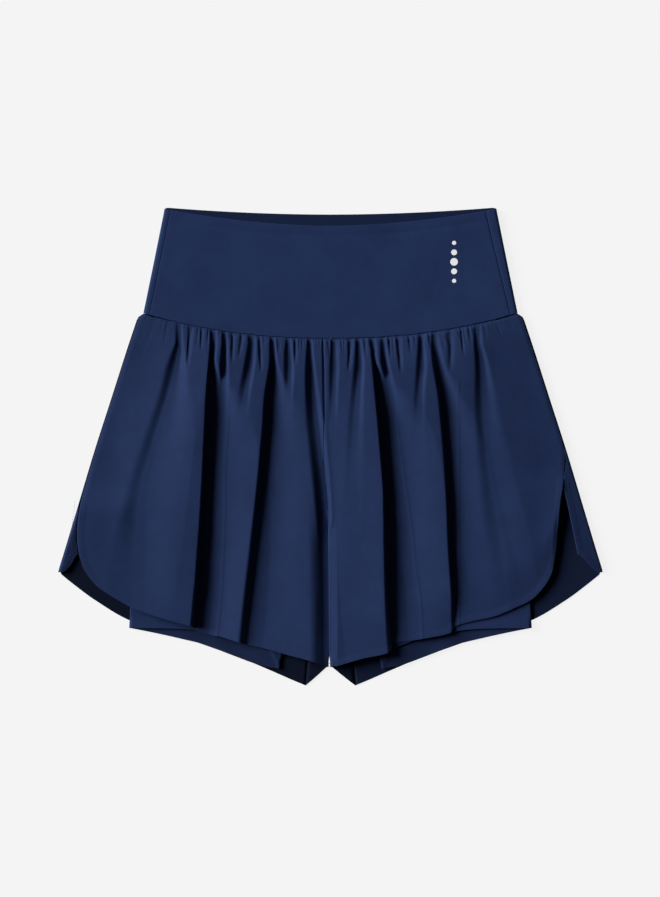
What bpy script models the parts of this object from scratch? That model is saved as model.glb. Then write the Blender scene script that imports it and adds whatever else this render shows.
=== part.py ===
"""Two-layer gathered running shorts laid flat on their back, seen from above.

The waist points to +Y, the wearer's left to +X and the front of the garment up.
Tables and named sizes are in millimetres, and MM turns them into metres.
From the floor up the layers are: outer back, inner back, inner front, outer front.
Each piece is one wall of cloth: a grid laid along its folds, then given its thickness.
"""

import math
from collections import namedtuple

import bmesh
import bpy

MM = 0.001

# ---- cloth and how it is stacked ----
SHELL_THICK = 1.0
LINER_THICK = 1.0
BAND_THICK = 2.2
SEAM_GAP = 0.3
OUTER_BACK_Z = 0.5  # heights of the middle of each wall
INNER_BACK_Z = 2.8
INNER_FRONT_Z = 4.1
OUTER_FRONT_Z = 5.4
TURN_UNDER_Z = 0.53  # a little up, so that no facet of the rounded fold reaches below the floor
BAND_BACK_Z = 1.1
BAND_FRONT_Z = 5.0
BACK_GROOVE = 1.0  # how far the gathers of the hidden back lift off the floor

# ---- garment sizes ----
BAND_TOP_HALF = 152.5
BAND_FOOT_HALF = 172.0
BAND_TOP_Y = 219.5
BAND_FOOT_Y = 122.6
CROTCH_Y = -63.0
INNER_CROTCH_Y = -50.0
INSEAM_TOP_X = 6.0
INSEAM_HEM_X = 21.6
INSEAM_HEM_Y = -219.6
WRAP_ROUND = 3.0  # half width of the rounded fold at the inside of each leg
RIDGE_HEIGHT = 9.0
RIDGE_LEAN = 0.28  # how far a ridge leans over its trough for each millimetre of height
PANEL_TOP_Y = 119.3  # the outer layer's shoulders, just below the corners of the band
SIDE_HEM_Y = -100.0  # where the hem of the outer back reaches its forward edge


# ---- outlines, each row one point ----
Point = namedtuple("Point", "x y")
OUTLINE = (  # half outline of the laid garment below the band
    Point(176.4, 119.1), Point(187.2, 88.8), Point(201.9, 42.8), Point(216.7, -3.2),
    Point(230.5, -49.2), Point(244.3, -95.2), Point(250.2, -115.0),
)
BACK_HEM = (  # half hem of the outer back, from the inseam to the side
    Point(21.6, -219.6), Point(35.4, -214.4), Point(56.0, -205.4), Point(80.0, -195.6),
    Point(128.3, -178.3), Point(185.4, -159.6), Point(216.7, -141.2), Point(236.0, -127.0),
    Point(250.2, -115.0),
)
RIGHT_HEM = (  # outer front on the wearer's right, from the leg's inside to the slit
    Point(2.0, -203.3), Point(20.7, -197.8), Point(42.8, -190.5), Point(81.4, -179.9),
    Point(125.6, -166.5), Point(168.8, -153.2), Point(198.3, -139.4), Point(211.1, -131.1),
    Point(220.5, -122.8), Point(227.1, -111.6), Point(230.6, -98.4),
)
LEFT_HEM = (
    Point(-1.0, -200.1), Point(27.1, -193.2), Point(56.6, -184.5), Point(84.2, -177.6),
    Point(110.9, -168.8), Point(128.3, -161.5), Point(150.4, -155.9), Point(174.3, -146.6),
    Point(188.4, -137.5), Point(196.4, -127.8), Point(202.5, -113.6),
)
INNER_FRONT_HEM = (
    Point(42.0, -193.0), Point(64.9, -182.6), Point(92.5, -174.3), Point(128.0, -168.2),
    Point(184.5, -166.8),
)
INNER_BACK_HEM = (
    Point(47.4, -204.3), Point(64.9, -201.0), Point(91.0, -191.6), Point(115.6, -182.2),
    Point(136.2, -177.0), Point(160.8, -171.5), Point(184.5, -166.8),
)
FRONT_SEAM = (Point(-6.9, 99.0), Point(-6.9, -3.0), Point(-2.3, -63.0), Point(-1.0, -204.0))

# The side seam opens into the slit: front is the edge of the outer front, and wrap
# the edge of the outer back where it comes forward round the side.
SideCut = namedtuple("SideCut", "y front wrap")
RIGHT_SIDE = (
    SideCut(119.3, 172.8, 173.1), SideCut(88.8, 183.6, 183.9), SideCut(42.8, 198.3, 198.6),
    SideCut(-3.2, 213.0, 213.3), SideCut(-46.0, 226.0, 226.3), SideCut(-61.8, 230.4, 230.8),
    SideCut(-80.0, 232.4, 233.2), SideCut(-100.0, 230.4, 232.6),
)
LEFT_SIDE = (
    SideCut(119.3, 172.8, 173.1), SideCut(88.8, 183.6, 183.9), SideCut(42.8, 198.3, 198.6),
    SideCut(-3.2, 212.4, 212.7), SideCut(-31.7, 213.4, 213.7), SideCut(-64.4, 209.6, 220.0),
    SideCut(-93.7, 206.0, 226.0), SideCut(-115.0, 202.5, 229.0),
)

# ---- gathers ----
# Each fold is a trough that runs down the leg. Its line and depth are given at five
# heights, and its two sides are as wide as steep and slow say.
STATIONS = (116.0, 42.0, -32.0, -106.0, -180.0)
Fold = namedtuple("Fold", "name line depth steep slow")
FRONT_FOLDS = (
    Fold("a", (-135.7, -155.0, -174.3, -195.5, -212.1), (0.9, 0.8, 0.4, 0.15, 0.0), 12, 15),
    Fold("b", (-108.1, -111.8, -110.9, -115.5, -126.5), (0.9, 0.95, 1.0, 1.0, 0.9), 6, 15),
    Fold("b_inner", (-98.9, -101.7, -109.9, -114.5, -125.6), (0.9, 0.9, 0.4, 0.0, 0.0), 5, 8),
    Fold("c_outer", (-73.1, -85.1, -86.9, -88.8, -90.6), (0.9, 0.3, 0.0, 0.0, 0.0), 6, 8),
    Fold("c", (-54.7, -56.6, -61.2, -68.5, -74.1), (0.9, 1.0, 1.0, 0.95, 0.85), 7, 15),
    Fold("d", (-20.7, -20.7, -12.4, -4.1, -1.4), (0.8, 0.9, 0.9, 1.0, 1.0), 9, 6),
    Fold("seam", (0.5, -0.5, -1.4, -1.4, -1.4), (0.9, 0.4, 0.0, 0.0, 0.0), 4, 7),
    Fold("e_inner", (25.3, 19.8, 17.9, 16.1, 14.3), (0.9, 0.45, 0.1, 0.0, 0.0), 6, 8),
    Fold("e", (36.3, 41.9, 50.1, 54.7, 60.3), (0.9, 1.0, 1.0, 0.95, 0.9), 6, 16),
    Fold("e_outer", (46.5, 52.0, 52.9, 56.6, 62.1), (0.8, 0.8, 0.3, 0.0, 0.0), 5, 8),
    Fold("f_inner", (80.5, 76.8, 73.1, 71.3, 69.5), (0.9, 0.4, 0.0, 0.0, 0.0), 6, 9),
    Fold("f", (94.3, 101.7, 109.9, 111.8, 116.4), (0.8, 0.95, 1.0, 0.95, 0.85), 7, 16),
    Fold("g", (132.0, 135.7, 142.1, 156.9, 169.7), (0.9, 0.6, 0.45, 0.35, 0.15), 10, 14),
)
BACK_FOLDS = (  # the hidden back is gathered in the same way, and pressed by its own weight
    Fold("p", (26.0, 29.0, 34.0, 40.0, 46.0), (1.0, 0.8, 0.5, 0.2, 0.0), 7, 9),
    Fold("q", (62.0, 68.0, 76.0, 86.0, 98.0), (1.0, 1.0, 0.8, 0.6, 0.3), 7, 9),
    Fold("r", (99.0, 108.0, 118.0, 131.0, 146.0), (1.0, 0.9, 0.7, 0.4, 0.1), 7, 9),
    Fold("s", (134.0, 147.0, 163.0, 180.0, 196.0), (1.0, 0.7, 0.3, 0.1, 0.0), 7, 9),
)
RIGHT_GUIDES = ("a", "b", "c")  # the grid of a front follows these folds, from -X to +X
LEFT_GUIDES = ("e", "f", "g")
BAY_SHARES = (0.0, 0.07, 0.14, 0.22, 0.32, 0.44, 0.58, 0.74, 0.86, 0.93)
UPPER_ROWS = (0.0, 0.05, 0.14, 0.28, 0.46, 0.64, 0.82, 1.0)  # from the waist to the crotch
LOWER_ROWS = (0.06, 0.13, 0.32, 0.54, 0.78, 1.0)  # from the crotch to the hem
WRAP_ZONE = 6.0  # width beside the front seam that turns under below the crotch
TURN_LENGTH = 20.0  # how far below the crotch it has turned all the way
LEG_GAP = 0.8  # between the insides of the two legs
BACK_COLUMNS = 16
INNER_COLUMNS = 7
BAND_COLUMNS = 20
BAND_ROWS = 4
BEND_STEPS = 4  # facets round a fold's half turn
WRAP_COUNT = BEND_STEPS + 3  # columns of the zone that turns under

# ---- colours of the cloth ----
NAVY_SHELL = (0.0145, 0.0262, 0.0762, 1.0)
NAVY_BAND = (0.0137, 0.0257, 0.0742, 1.0)
NAVY_LINER = (0.0144, 0.0272, 0.0823, 1.0)


def clear_scene():
    """Removes whatever the file holds."""
    for thing in list(bpy.data.objects):
        bpy.data.objects.remove(thing, do_unlink=True)


# ---- curves ----
def smoothstep(value):
    """A soft step from 0 at 0 to 1 at 1."""
    value = min(max(value, 0.0), 1.0)
    return value * value * (3.0 - 2.0 * value)


def mix(first, second, share):
    """The value a share of the way from first to second."""
    return first + (second - first) * share


def along(keys, values, at):
    """A smooth curve through values at rising keys, held within the keys."""
    last = len(keys) - 1
    at = min(max(at, keys[0]), keys[-1])
    spot = next((i for i in range(last) if at <= keys[i + 1]), last - 1)
    span = keys[spot + 1] - keys[spot]
    share = (at - keys[spot]) / span
    slopes = []
    for i in (spot, spot + 1):
        low, high = max(i - 1, 0), min(i + 1, last)
        slopes.append((values[high] - values[low]) / (keys[high] - keys[low]))
    square, cube = share * share, share**3
    return (
        (2 * cube - 3 * square + 1) * values[spot]
        + (cube - 2 * square + share) * span * slopes[0]
        + (3 * square - 2 * cube) * values[spot + 1]
        + (cube - square) * span * slopes[1]
    )


def column_at(rows, key, wanted, at):
    """The wanted column of a table at a value of its key column."""
    ordered = sorted(rows, key=lambda row: getattr(row, key))
    keys = [getattr(row, key) for row in ordered]
    return along(keys, [getattr(row, wanted) for row in ordered], at)


def at_station(values, y):
    """A fold's line or depth, given at the stations, at height y."""
    return along(STATIONS[::-1], values[::-1], y)


# ---- seams and edges that several pieces share ----
def front_waist_seam(x):
    """Foot of the front waistband, which dips at the middle."""
    return 99.4 + 23.2 * (abs(x) / BAND_FOOT_HALF) ** 2.2


def back_waist_seam(x):
    """Foot of the back waistband."""
    return 110.0 + 12.6 * (abs(x) / BAND_FOOT_HALF) ** 2.0


def front_band_top(x):
    """Top edge of the front waistband, lower than the back's."""
    return 202.6 + 15.2 * (abs(x) / 150.0) ** 1.85


def back_band_top(x):
    """Top edge of the back waistband."""
    return 213.3 + 6.5 * (abs(x) / BAND_TOP_HALF) ** 1.9


def inseam(y):
    """Distance of the outer inseam from the middle, below the crotch."""
    share = (CROTCH_Y - y) / (CROTCH_Y - INSEAM_HEM_Y)
    return INSEAM_TOP_X + (INSEAM_HEM_X - INSEAM_TOP_X) * max(share, 0.0) ** 0.9


def inner_edge(y):
    """Distance of the inner shorts' inside edge from the middle."""
    share = (INNER_CROTCH_Y - y) / 154.0
    return SEAM_GAP / 2 + 47.0 * max(share, 0.0) ** 0.7


def inner_side(y):
    """Distance of the inner shorts' outer side from the middle."""
    return mix(170.4, 184.5, (PANEL_TOP_Y - y) / 286.0)


def row_heights(top_y, hem_y):
    """Heights of the rows of one column, from the waist down to the hem."""
    upper = [mix(top_y, CROTCH_Y, share) for share in UPPER_ROWS]
    return upper + [mix(CROTCH_Y, hem_y, share) for share in LOWER_ROWS]


# ---- relief ----
def trough(fold, x, y):
    """How much of the cloth's height a fold takes away at a point, from 0 to 1."""
    offset = x - at_station(fold.line, y)
    reach = offset / fold.slow if offset > 0 else -offset / fold.steep
    depth = min(max(at_station(fold.depth, y), 0.0), 1.0)
    return depth * 0.5 * (1.0 + math.cos(math.pi * min(reach, 1.0)))


def front_relief(x, y, side_x):
    """Height of the gathered front above where it would lie flat."""
    below_waist = front_waist_seam(x) - y
    rise = 0.2 * smoothstep(below_waist / 6.0) + 0.8 * smoothstep(below_waist / 34.0)
    near_side = smoothstep((side_x - abs(x)) / 42.0)
    middle = mix(0.6, 1.0, smoothstep(abs(x - column_at(FRONT_SEAM, "y", "x", y)) / 22.0))
    hem_share = mix(1.0, 0.8, smoothstep((CROTCH_Y - y) / 120.0))
    height = RIDGE_HEIGHT * rise * near_side * middle * hem_share
    for fold in FRONT_FOLDS:
        height *= 1.0 - trough(fold, x, y)
    return height


def back_relief(x, y):
    """How far the gathers of the hidden back lift off the floor."""
    rise = smoothstep((back_waist_seam(x) - y) / 12.0)
    return BACK_GROOVE * rise * max(trough(fold, abs(x), y) for fold in BACK_FOLDS)


# ---- making cloth ----
def dress(thing, colour, roughness):
    """Gives a piece its own cloth material."""
    material = bpy.data.materials.new(thing.name)
    material.use_nodes = True
    shader = material.node_tree.nodes["Principled BSDF"]
    shader.inputs["Base Color"].default_value = colour
    shader.inputs["Roughness"].default_value = roughness
    shader.inputs["Metallic"].default_value = 0.0
    thing.data.materials.append(material)


def cloth(name, sections, thickness, colour, roughness=0.85):
    """One wall of cloth, from rows of points along the middle of its thickness."""
    columns = len(sections[0])
    shape = bmesh.new()
    bmesh.ops.create_grid(shape, x_segments=columns - 1, y_segments=len(sections) - 1, size=1.0)
    shape.verts.ensure_lookup_table()
    for row, section in enumerate(sections):
        for column, (x, y, z) in enumerate(section):
            shape.verts[row * columns + column].co = (x * MM, y * MM, z * MM)
    bmesh.ops.triangulate(shape, faces=shape.faces[:], quad_method="SHORT_EDGE")
    mesh = bpy.data.meshes.new(name)
    shape.to_mesh(mesh)
    shape.free()
    thing = bpy.data.objects.new(name, mesh)
    bpy.context.scene.collection.objects.link(thing)
    wall = thing.modifiers.new("wall", "SOLIDIFY")
    wall.thickness = thickness * MM
    wall.offset = 0.0
    wall.use_even_offset = True
    dress(thing, colour, roughness)
    return thing


def half_turn(edge_x, depth, low, high):
    """Points (x, z) round a fold from its low side to its high side.

    The fold's outermost point is edge_x, and it is depth wide before its sides run flat.
    """
    outwards = math.copysign(1.0, edge_x)
    middle, radius = (low + high) / 2, (high - low) / 2
    points = []
    for step in range(BEND_STEPS + 1):
        turn = math.pi * step / BEND_STEPS
        x = edge_x - outwards * depth * (1.0 - math.sin(turn))
        points.append((x, middle - radius * math.cos(turn)))
    return points


# ---- the waistband ----
def band_point(x, z, share):
    """A point of the band at x and z, a share of the way from its foot to its top."""
    forward = (z - BAND_BACK_Z) / (BAND_FRONT_Z - BAND_BACK_Z)
    forward = min(forward, 1.0)
    top = mix(back_band_top(x), front_band_top(x), forward)
    foot = mix(back_waist_seam(x), front_waist_seam(x), forward)
    return (x, mix(foot, top, share), z)


def band_half(share):
    """Half width of the laid band to the middle of its wall."""
    return mix(BAND_FOOT_HALF, BAND_TOP_HALF, share) - BAND_THICK / 2


def side_seam_in(side, share):
    """How far in from the laid side the band's side seam stands."""
    return mix(6.0, 9.5, share) if side > 0 else 5.0


def waistband_back():
    """Back of the band, brought forward round both sides to the side seams."""
    radius = (BAND_FRONT_Z - BAND_BACK_Z) / 2
    sections = []
    for row in range(BAND_ROWS):
        share = 1.0 - row / (BAND_ROWS - 1)
        half = band_half(share)
        turns = {side: half_turn(side * half, radius, BAND_BACK_Z, BAND_FRONT_Z) for side in (-1, 1)}
        ends = {side: (side * (half - side_seam_in(side, share)), BAND_FRONT_Z) for side in (-1, 1)}
        reach = half - radius
        flat = [(mix(-reach, reach, i / BAND_COLUMNS), BAND_BACK_Z) for i in range(1, BAND_COLUMNS)]
        ring = [ends[-1]] + turns[-1][::-1] + flat + turns[1] + [ends[1]]
        sections.append([band_point(x, z, share) for x, z in ring])
    return cloth("waistband_back", sections, BAND_THICK, NAVY_BAND)


def waistband_front():
    """Front of the band, a little arched because the waist stands open."""
    sections = []
    for row in range(BAND_ROWS):
        share = 1.0 - row / (BAND_ROWS - 1)
        left, right = (side * (band_half(share) - side_seam_in(side, share) - SEAM_GAP) for side in (-1, 1))
        section = []
        for column in range(BAND_COLUMNS + 1):
            x = mix(left, right, column / BAND_COLUMNS)
            arch = 1.4 * share * (1.0 - (x / right) ** 2)
            section.append(band_point(x, BAND_FRONT_Z + max(arch, 0.0), share))
        sections.append(section)
    return cloth("waistband_front", sections, BAND_THICK, NAVY_BAND)


# ---- the gathered outer layer ----
class OuterFront:
    """One front of the outer layer, which turns under at the inside of its leg."""

    def __init__(self, name, side, guides, hem, cuts, edge_slope):
        self.name = name
        self.side = side
        self.edge_slope = edge_slope  # how wide the cloth's fall to the leg's inside edge is
        self.guides = [fold for wanted in guides for fold in FRONT_FOLDS if fold.name == wanted]
        self.hem = hem
        self.cuts = cuts

    def seam_x(self, y):
        """The front seam, or below the crotch the inside of the leg."""
        return column_at(FRONT_SEAM, "y", "x", y) + self.side * SEAM_GAP / 2

    def side_x(self, y):
        """Distance of the side edge from the middle."""
        return column_at(self.cuts, "y", "front", y)

    def main_x(self, y):
        """Where the columns stand at height y, from -X to +X, as far as the wrap zone."""
        marks = [at_station(fold.line, y) for fold in self.guides]
        marks.append(self.seam_x(y) + self.side * WRAP_ZONE)
        marks.append(self.side * self.side_x(y))
        marks.sort()
        columns = [mix(low, high, share) for low, high in zip(marks, marks[1:]) for share in BAY_SHARES]
        return columns + [marks[-1]]

    def relief(self, x, y):
        """Height of the gathers, which sink to the leg's inside edge below the crotch."""
        below_crotch = smoothstep((CROTCH_Y - y) / 14.0)
        from_edge = smoothstep(abs(x - self.seam_x(y)) / self.edge_slope)
        return front_relief(x, y, self.side_x(y)) * mix(1.0, from_edge, below_crotch)

    def raised(self, x, y):
        """The point of the gathered cloth over x and y."""
        relief = self.relief(x, y)
        return (x + RIDGE_LEAN * relief, y, OUTER_FRONT_Z + relief)

    def flat_zone(self, y):
        """Points (x, z) of the zone beside the seam where it lies flat."""
        points = []
        for index in range(1, WRAP_COUNT + 1):
            x = self.seam_x(y) + self.side * WRAP_ZONE * (1.0 - index / WRAP_COUNT)
            raised_x, _, z = self.raised(x, y)
            points.append((raised_x, z))
        return points

    def turned_zone(self, y):
        """Points (x, z) of the same zone where it turns under to the inseam."""
        fold = self.seam_x(y) + self.side * (LEG_GAP + SHELL_THICK) / 2
        start = fold + self.side * WRAP_ROUND
        bend = half_turn(-self.side, WRAP_ROUND, TURN_UNDER_Z, OUTER_FRONT_Z + self.relief(start, y))
        points = []
        for x, z in bend[::-1]:
            lean = RIDGE_LEAN * max(z - OUTER_FRONT_Z, 0.0)
            points.append((fold + self.side + x + lean, z))
        edge = self.side * inseam(y)
        return points + [(mix(start, edge, 0.5), TURN_UNDER_Z), (edge, TURN_UNDER_Z)]

    def wrap_zone(self, y):
        """Points (x, z) of the zone at height y, part turned just below the crotch."""
        turned = smoothstep((CROTCH_Y - y) / TURN_LENGTH)
        return [
            (mix(flat_x, bent_x, turned), mix(flat_z, bent_z, turned))
            for (flat_x, flat_z), (bent_x, bent_z) in zip(self.flat_zone(y), self.turned_zone(y))
        ]

    def hem_y(self, column):
        """Height of the hem below a main column."""
        y = SIDE_HEM_Y
        for _ in range(5):
            y = column_at(self.hem, "x", "y", self.side * self.main_x(y)[column])
        return y

    def build(self):
        """Makes the piece."""
        main_count = len(self.main_x(0.0))
        columns = []
        for column in range(main_count):
            x_top = self.main_x(PANEL_TOP_Y)[column]
            top_y = min(front_waist_seam(x_top) - SEAM_GAP, PANEL_TOP_Y)
            heights = row_heights(top_y, self.hem_y(column))
            columns.append([self.raised(self.main_x(y)[column], y) for y in heights])
        wraps = []
        for index in range(WRAP_COUNT):
            under = max(index - BEND_STEPS, 0) / (WRAP_COUNT - 1 - BEND_STEPS)
            heights = row_heights(
                front_waist_seam(0.0) - SEAM_GAP, mix(self.hem[0].y, INSEAM_HEM_Y, under)
            )
            zones = [(self.wrap_zone(y)[index], y) for y in heights]
            wraps.append([(x, y, z) for (x, z), y in zones])
        ordered = columns + wraps if self.side < 0 else wraps[::-1] + columns
        sections = [list(section) for section in zip(*ordered)]
        return cloth(self.name, sections, SHELL_THICK, NAVY_SHELL)


def outer_back(name, side, cuts):
    """One back of the outer layer, brought forward round the side to the slit."""
    radius = (OUTER_FRONT_Z - OUTER_BACK_Z) / 2

    def place(share, y, upper):
        """Points (x, z) across the flat part at height y."""
        inner = SEAM_GAP / 2 if upper else inseam(y) + SEAM_GAP
        x = mix(inner, column_at(OUTLINE, "y", "x", y) - radius - SHELL_THICK / 2, share)
        return x, OUTER_BACK_Z + back_relief(x, y)

    columns = []
    for column in range(BACK_COLUMNS):
        share = column / (BACK_COLUMNS - 1)
        top_y = min(back_waist_seam(share * 170.0) - SEAM_GAP, PANEL_TOP_Y)
        hem_y = SIDE_HEM_Y
        for _ in range(5):
            hem_y = column_at(BACK_HEM, "x", "y", place(share, hem_y, False)[0])
        heights = row_heights(top_y, hem_y)
        points = []
        for row, y in enumerate(heights):
            x, z = place(share, y, row < len(UPPER_ROWS))
            points.append((side * x, y, z))
        columns.append(points)
    for step in range(1, BEND_STEPS + 1):
        hem_y = mix(OUTLINE[-1].y, SIDE_HEM_Y, max(step - 2, 0) * 0.06)
        points = []
        for y in row_heights(PANEL_TOP_Y, hem_y):
            edge = column_at(OUTLINE, "y", "x", y) - SHELL_THICK / 2
            x, z = half_turn(edge, radius, OUTER_BACK_Z, OUTER_FRONT_Z)[step]
            points.append((side * x, y, z))
        columns.append(points)
    points = []
    for y in row_heights(PANEL_TOP_Y, SIDE_HEM_Y):
        front = column_at(cuts, "y", "front", y)
        wrap = max(column_at(cuts, "y", "wrap", y), front + SEAM_GAP)
        points.append((side * wrap, y, OUTER_FRONT_Z))
    columns.append(points)
    sections = [list(section) for section in zip(*columns)]
    return cloth(name, sections, SHELL_THICK, NAVY_SHELL)


# ---- the fitted inner shorts ----
def inner_leg(name, side):
    """One leg of the inner shorts: a single piece, folded at the outer side."""
    radius = (INNER_FRONT_Z - INNER_BACK_Z) / 2
    layers = (
        (INNER_FRONT_Z, front_waist_seam, INNER_FRONT_HEM, range(INNER_COLUMNS)),
        (INNER_BACK_Z, back_waist_seam, INNER_BACK_HEM, range(INNER_COLUMNS - 1, -1, -1)),
    )
    columns = []
    for z, waist, hem, order in layers:
        for index in order:
            share = index / (INNER_COLUMNS - 1)
            top_y = min(waist(share * 170.0) - SEAM_GAP, PANEL_TOP_Y)
            hem_y = SIDE_HEM_Y
            for _ in range(6):
                x = mix(inner_edge(hem_y), inner_side(hem_y) - radius, share)
                hem_y = column_at(hem, "x", "y", x)
            points = []
            for y in row_heights(top_y, hem_y):
                x = mix(inner_edge(y), inner_side(y) - radius, share)
                points.append((side * x, y, z))
            columns.append(points)
        if z == INNER_FRONT_Z:
            for step in range(BEND_STEPS - 1, 0, -1):
                points = []
                for y in row_heights(PANEL_TOP_Y, INNER_FRONT_HEM[-1].y):
                    x, bend_z = half_turn(inner_side(y), radius, INNER_BACK_Z, INNER_FRONT_Z)[step]
                    points.append((side * x, y, bend_z))
                columns.append(points)
    sections = [list(section) for section in zip(*columns)]
    return cloth(name, sections, LINER_THICK, NAVY_LINER, roughness=0.7)


def main():
    """Builds every piece."""
    clear_scene()
    waistband_back()
    waistband_front()
    OuterFront("outer_front_right", -1, RIGHT_GUIDES, RIGHT_HEM, RIGHT_SIDE, 20.0).build()
    OuterFront("outer_front_left", 1, LEFT_GUIDES, LEFT_HEM, LEFT_SIDE, 7.0).build()
    outer_back("outer_back_right", -1, RIGHT_SIDE)
    outer_back("outer_back_left", 1, LEFT_SIDE)
    inner_leg("inner_leg_right", -1)
    inner_leg("inner_leg_left", 1)


main()
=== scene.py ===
"""Looks of a pair of gathered running shorts over fitted inner shorts, laid flat on their back.

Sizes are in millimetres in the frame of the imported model, and MM turns them into metres when a
mesh is made. The waist points to +Y, the wearer's left to +X, and the front faces up.

Each piece of cloth is one grid laid along its folds. The gathers are troughs in a raised front:
a fold's bottom line, its depth and the reach of its two sides are given at eight heights.
"""

import logging
import math
from collections.abc import Callable, Sequence
from dataclasses import dataclass, replace
from enum import Enum

import bmesh
import bpy
import numpy as np
from mathutils import Matrix, Vector


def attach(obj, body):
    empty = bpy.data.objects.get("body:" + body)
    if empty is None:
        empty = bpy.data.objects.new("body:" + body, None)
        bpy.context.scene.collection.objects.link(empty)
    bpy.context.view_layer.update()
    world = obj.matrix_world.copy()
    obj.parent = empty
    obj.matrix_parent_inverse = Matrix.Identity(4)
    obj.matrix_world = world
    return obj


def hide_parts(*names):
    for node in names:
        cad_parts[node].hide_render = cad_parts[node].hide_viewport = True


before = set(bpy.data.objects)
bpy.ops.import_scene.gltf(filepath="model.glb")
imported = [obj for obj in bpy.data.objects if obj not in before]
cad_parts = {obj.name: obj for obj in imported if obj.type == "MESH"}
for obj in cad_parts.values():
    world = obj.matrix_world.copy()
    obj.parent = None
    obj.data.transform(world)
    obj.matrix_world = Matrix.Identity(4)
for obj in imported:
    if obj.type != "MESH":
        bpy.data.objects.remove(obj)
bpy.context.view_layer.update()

Array = np.ndarray
Socket = bpy.types.NodeSocket
Inputs = dict[str | int, object]
Colour = tuple[float, float, float]
MM = 0.001
LOG = logging.getLogger("shorts")


class Side(Enum):
    """A side of the garment, as its wearer has it. The value is the sign of X there."""

    RIGHT = -1
    LEFT = 1


class Weave(Enum):
    """How a cloth is made. The value is the slant of its second set of threads, in degrees."""

    WOVEN = 90.0
    JERSEY = 62.0


# ---- cloth and how it is stacked ----
SHELL_THICK = 0.6
LINER_THICK = 0.7
BAND_THICK = 2.0
SEAM_GAP = 0.3
OUTER_BACK_Z = SHELL_THICK / 2
INNER_BACK_Z = 2.4
INNER_FRONT_Z = 3.9
OUTER_FRONT_Z = 5.3
BAND_BACK_Z = BAND_THICK / 2
BAND_FRONT_Z = 5.0
RIDGE_HEIGHT = 13.0

# ---- garment sizes ----
BAND_TOP_HALF = 152.5
BAND_FOOT_HALF = 172.0
BAND_HEIGHT = 103.0
CROTCH_Y = -63.0
INNER_CROTCH_Y = -50.0
INSEAM_TOP_X = 6.0
INSEAM_HEM_X = 22.5
INSEAM_HEM_Y = -219.9
INSEAM_BEND = 0.9
PANEL_TOP_Y = 122.0
PANEL_HALF = 170.0
SIDE_HEM_Y = -99.0
HEM_WIDTH = 4.6
STITCH_IN = HEM_WIDTH - 0.7
STITCH_SPACING = 0.8  # of the places that a line of stitches is worked out from
INNER_TOP_HALF = 170.4
INNER_HEM_HALF = 184.5
INNER_SIDE_LENGTH = 286.0
INNER_SPLAY = 47.0
INNER_SPLAY_BEND = 0.7
INNER_LEG_LENGTH = 154.0


# ---- curves ----
def smoothstep(value: Array) -> Array:
    """A soft step from 0 at 0 to 1 at 1."""
    value = np.clip(value, 0.0, 1.0)
    return value * value * (3.0 - 2.0 * value)


def below(start: float, length: float, y: Array) -> Array:
    """A soft step from 0 above a height to 1 a length below it."""
    return smoothstep((start - y) / length)


def bell(offset: Array) -> Array:
    """A soft hump, 1 at 0 and 0 from 1 on."""
    return 0.5 * (1.0 + np.cos(np.pi * np.minimum(offset, 1.0)))


def ridge(offset: Array, half: float) -> Array:
    """A narrow ridge, 1 along its line and almost 0 two half widths away."""
    return np.exp(-((offset / half) ** 2))


def mix(first: Array, second: Array, share: Array) -> Array:
    """The value a share of the way from first to second."""
    return first + (second - first) * share


class Track:
    """A smooth curve through values at rising keys, held level past its ends."""

    def __init__(self, keys: Sequence[float], values: Sequence[float]) -> None:
        """Sorts the keys and works out the curve's slope at each.

        Args:
            keys: where the values stand, in any order.
            values: the value at each key.
        """
        order = np.argsort(np.asarray(keys, dtype=float), kind="stable")
        self.keys = np.asarray(keys, dtype=float)[order]
        self.values = np.asarray(values, dtype=float)[order]
        steps = np.diff(self.values) / np.diff(self.keys)
        wide = (self.values[2:] - self.values[:-2]) / (self.keys[2:] - self.keys[:-2])
        self.slopes = np.concatenate(([steps[0]], wide, [steps[-1]]))

    def at(self, where: Array) -> Array:
        """The curve's value at places.

        Args:
            where: one place or an array of them.

        Returns:
            The value at each place.
        """
        where = np.clip(where, self.keys[0], self.keys[-1])
        spot = np.clip(np.searchsorted(self.keys, where, side="right") - 1, 0, len(self.keys) - 2)
        span = self.keys[spot + 1] - self.keys[spot]
        share = (where - self.keys[spot]) / span
        square, cube = share**2, share**3
        return (
            (2 * cube - 3 * square + 1) * self.values[spot]
            + (cube - 2 * square + share) * span * self.slopes[spot]
            + (3 * square - 2 * cube) * self.values[spot + 1]
            + (cube - square) * span * self.slopes[spot + 1]
        )


def curve_of(points: Sequence[Sequence[float]], key: int = 0, value: int = 1) -> Track:
    """A track through rows of numbers, of one column over another."""
    return Track([point[key] for point in points], [point[value] for point in points])


WAVE_COUNT = 5
WAVE_PITCH = (0.7, 1.6)  # shortest and longest wave, in usual lengths


@dataclass(frozen=True)
class Ripple:
    """Soft uneven waves, the same each time for a seed."""

    height: float
    length: float
    seed: int
    squeeze: tuple[float, float] = (1.0, 1.0)  # scales x and y first, which draws the waves out

    def at(self, x: Array, y: Array) -> Array:
        """Height of the waves.

        Args:
            x: places along X.
            y: places along Y.

        Returns:
            The height at each place.
        """
        random = np.random.default_rng(self.seed)
        total = np.zeros_like(x, dtype=float)
        for _ in range(WAVE_COUNT):
            angle = random.uniform(0.0, 2.0 * math.pi)
            pitch = self.length * random.uniform(*WAVE_PITCH)
            phase = random.uniform(0.0, 2.0 * math.pi)
            across = self.squeeze[0] * x * math.cos(angle) + self.squeeze[1] * y * math.sin(angle)
            total += np.sin(2.0 * math.pi * across / pitch + phase)
        return self.height * total / math.sqrt(WAVE_COUNT)


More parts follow.
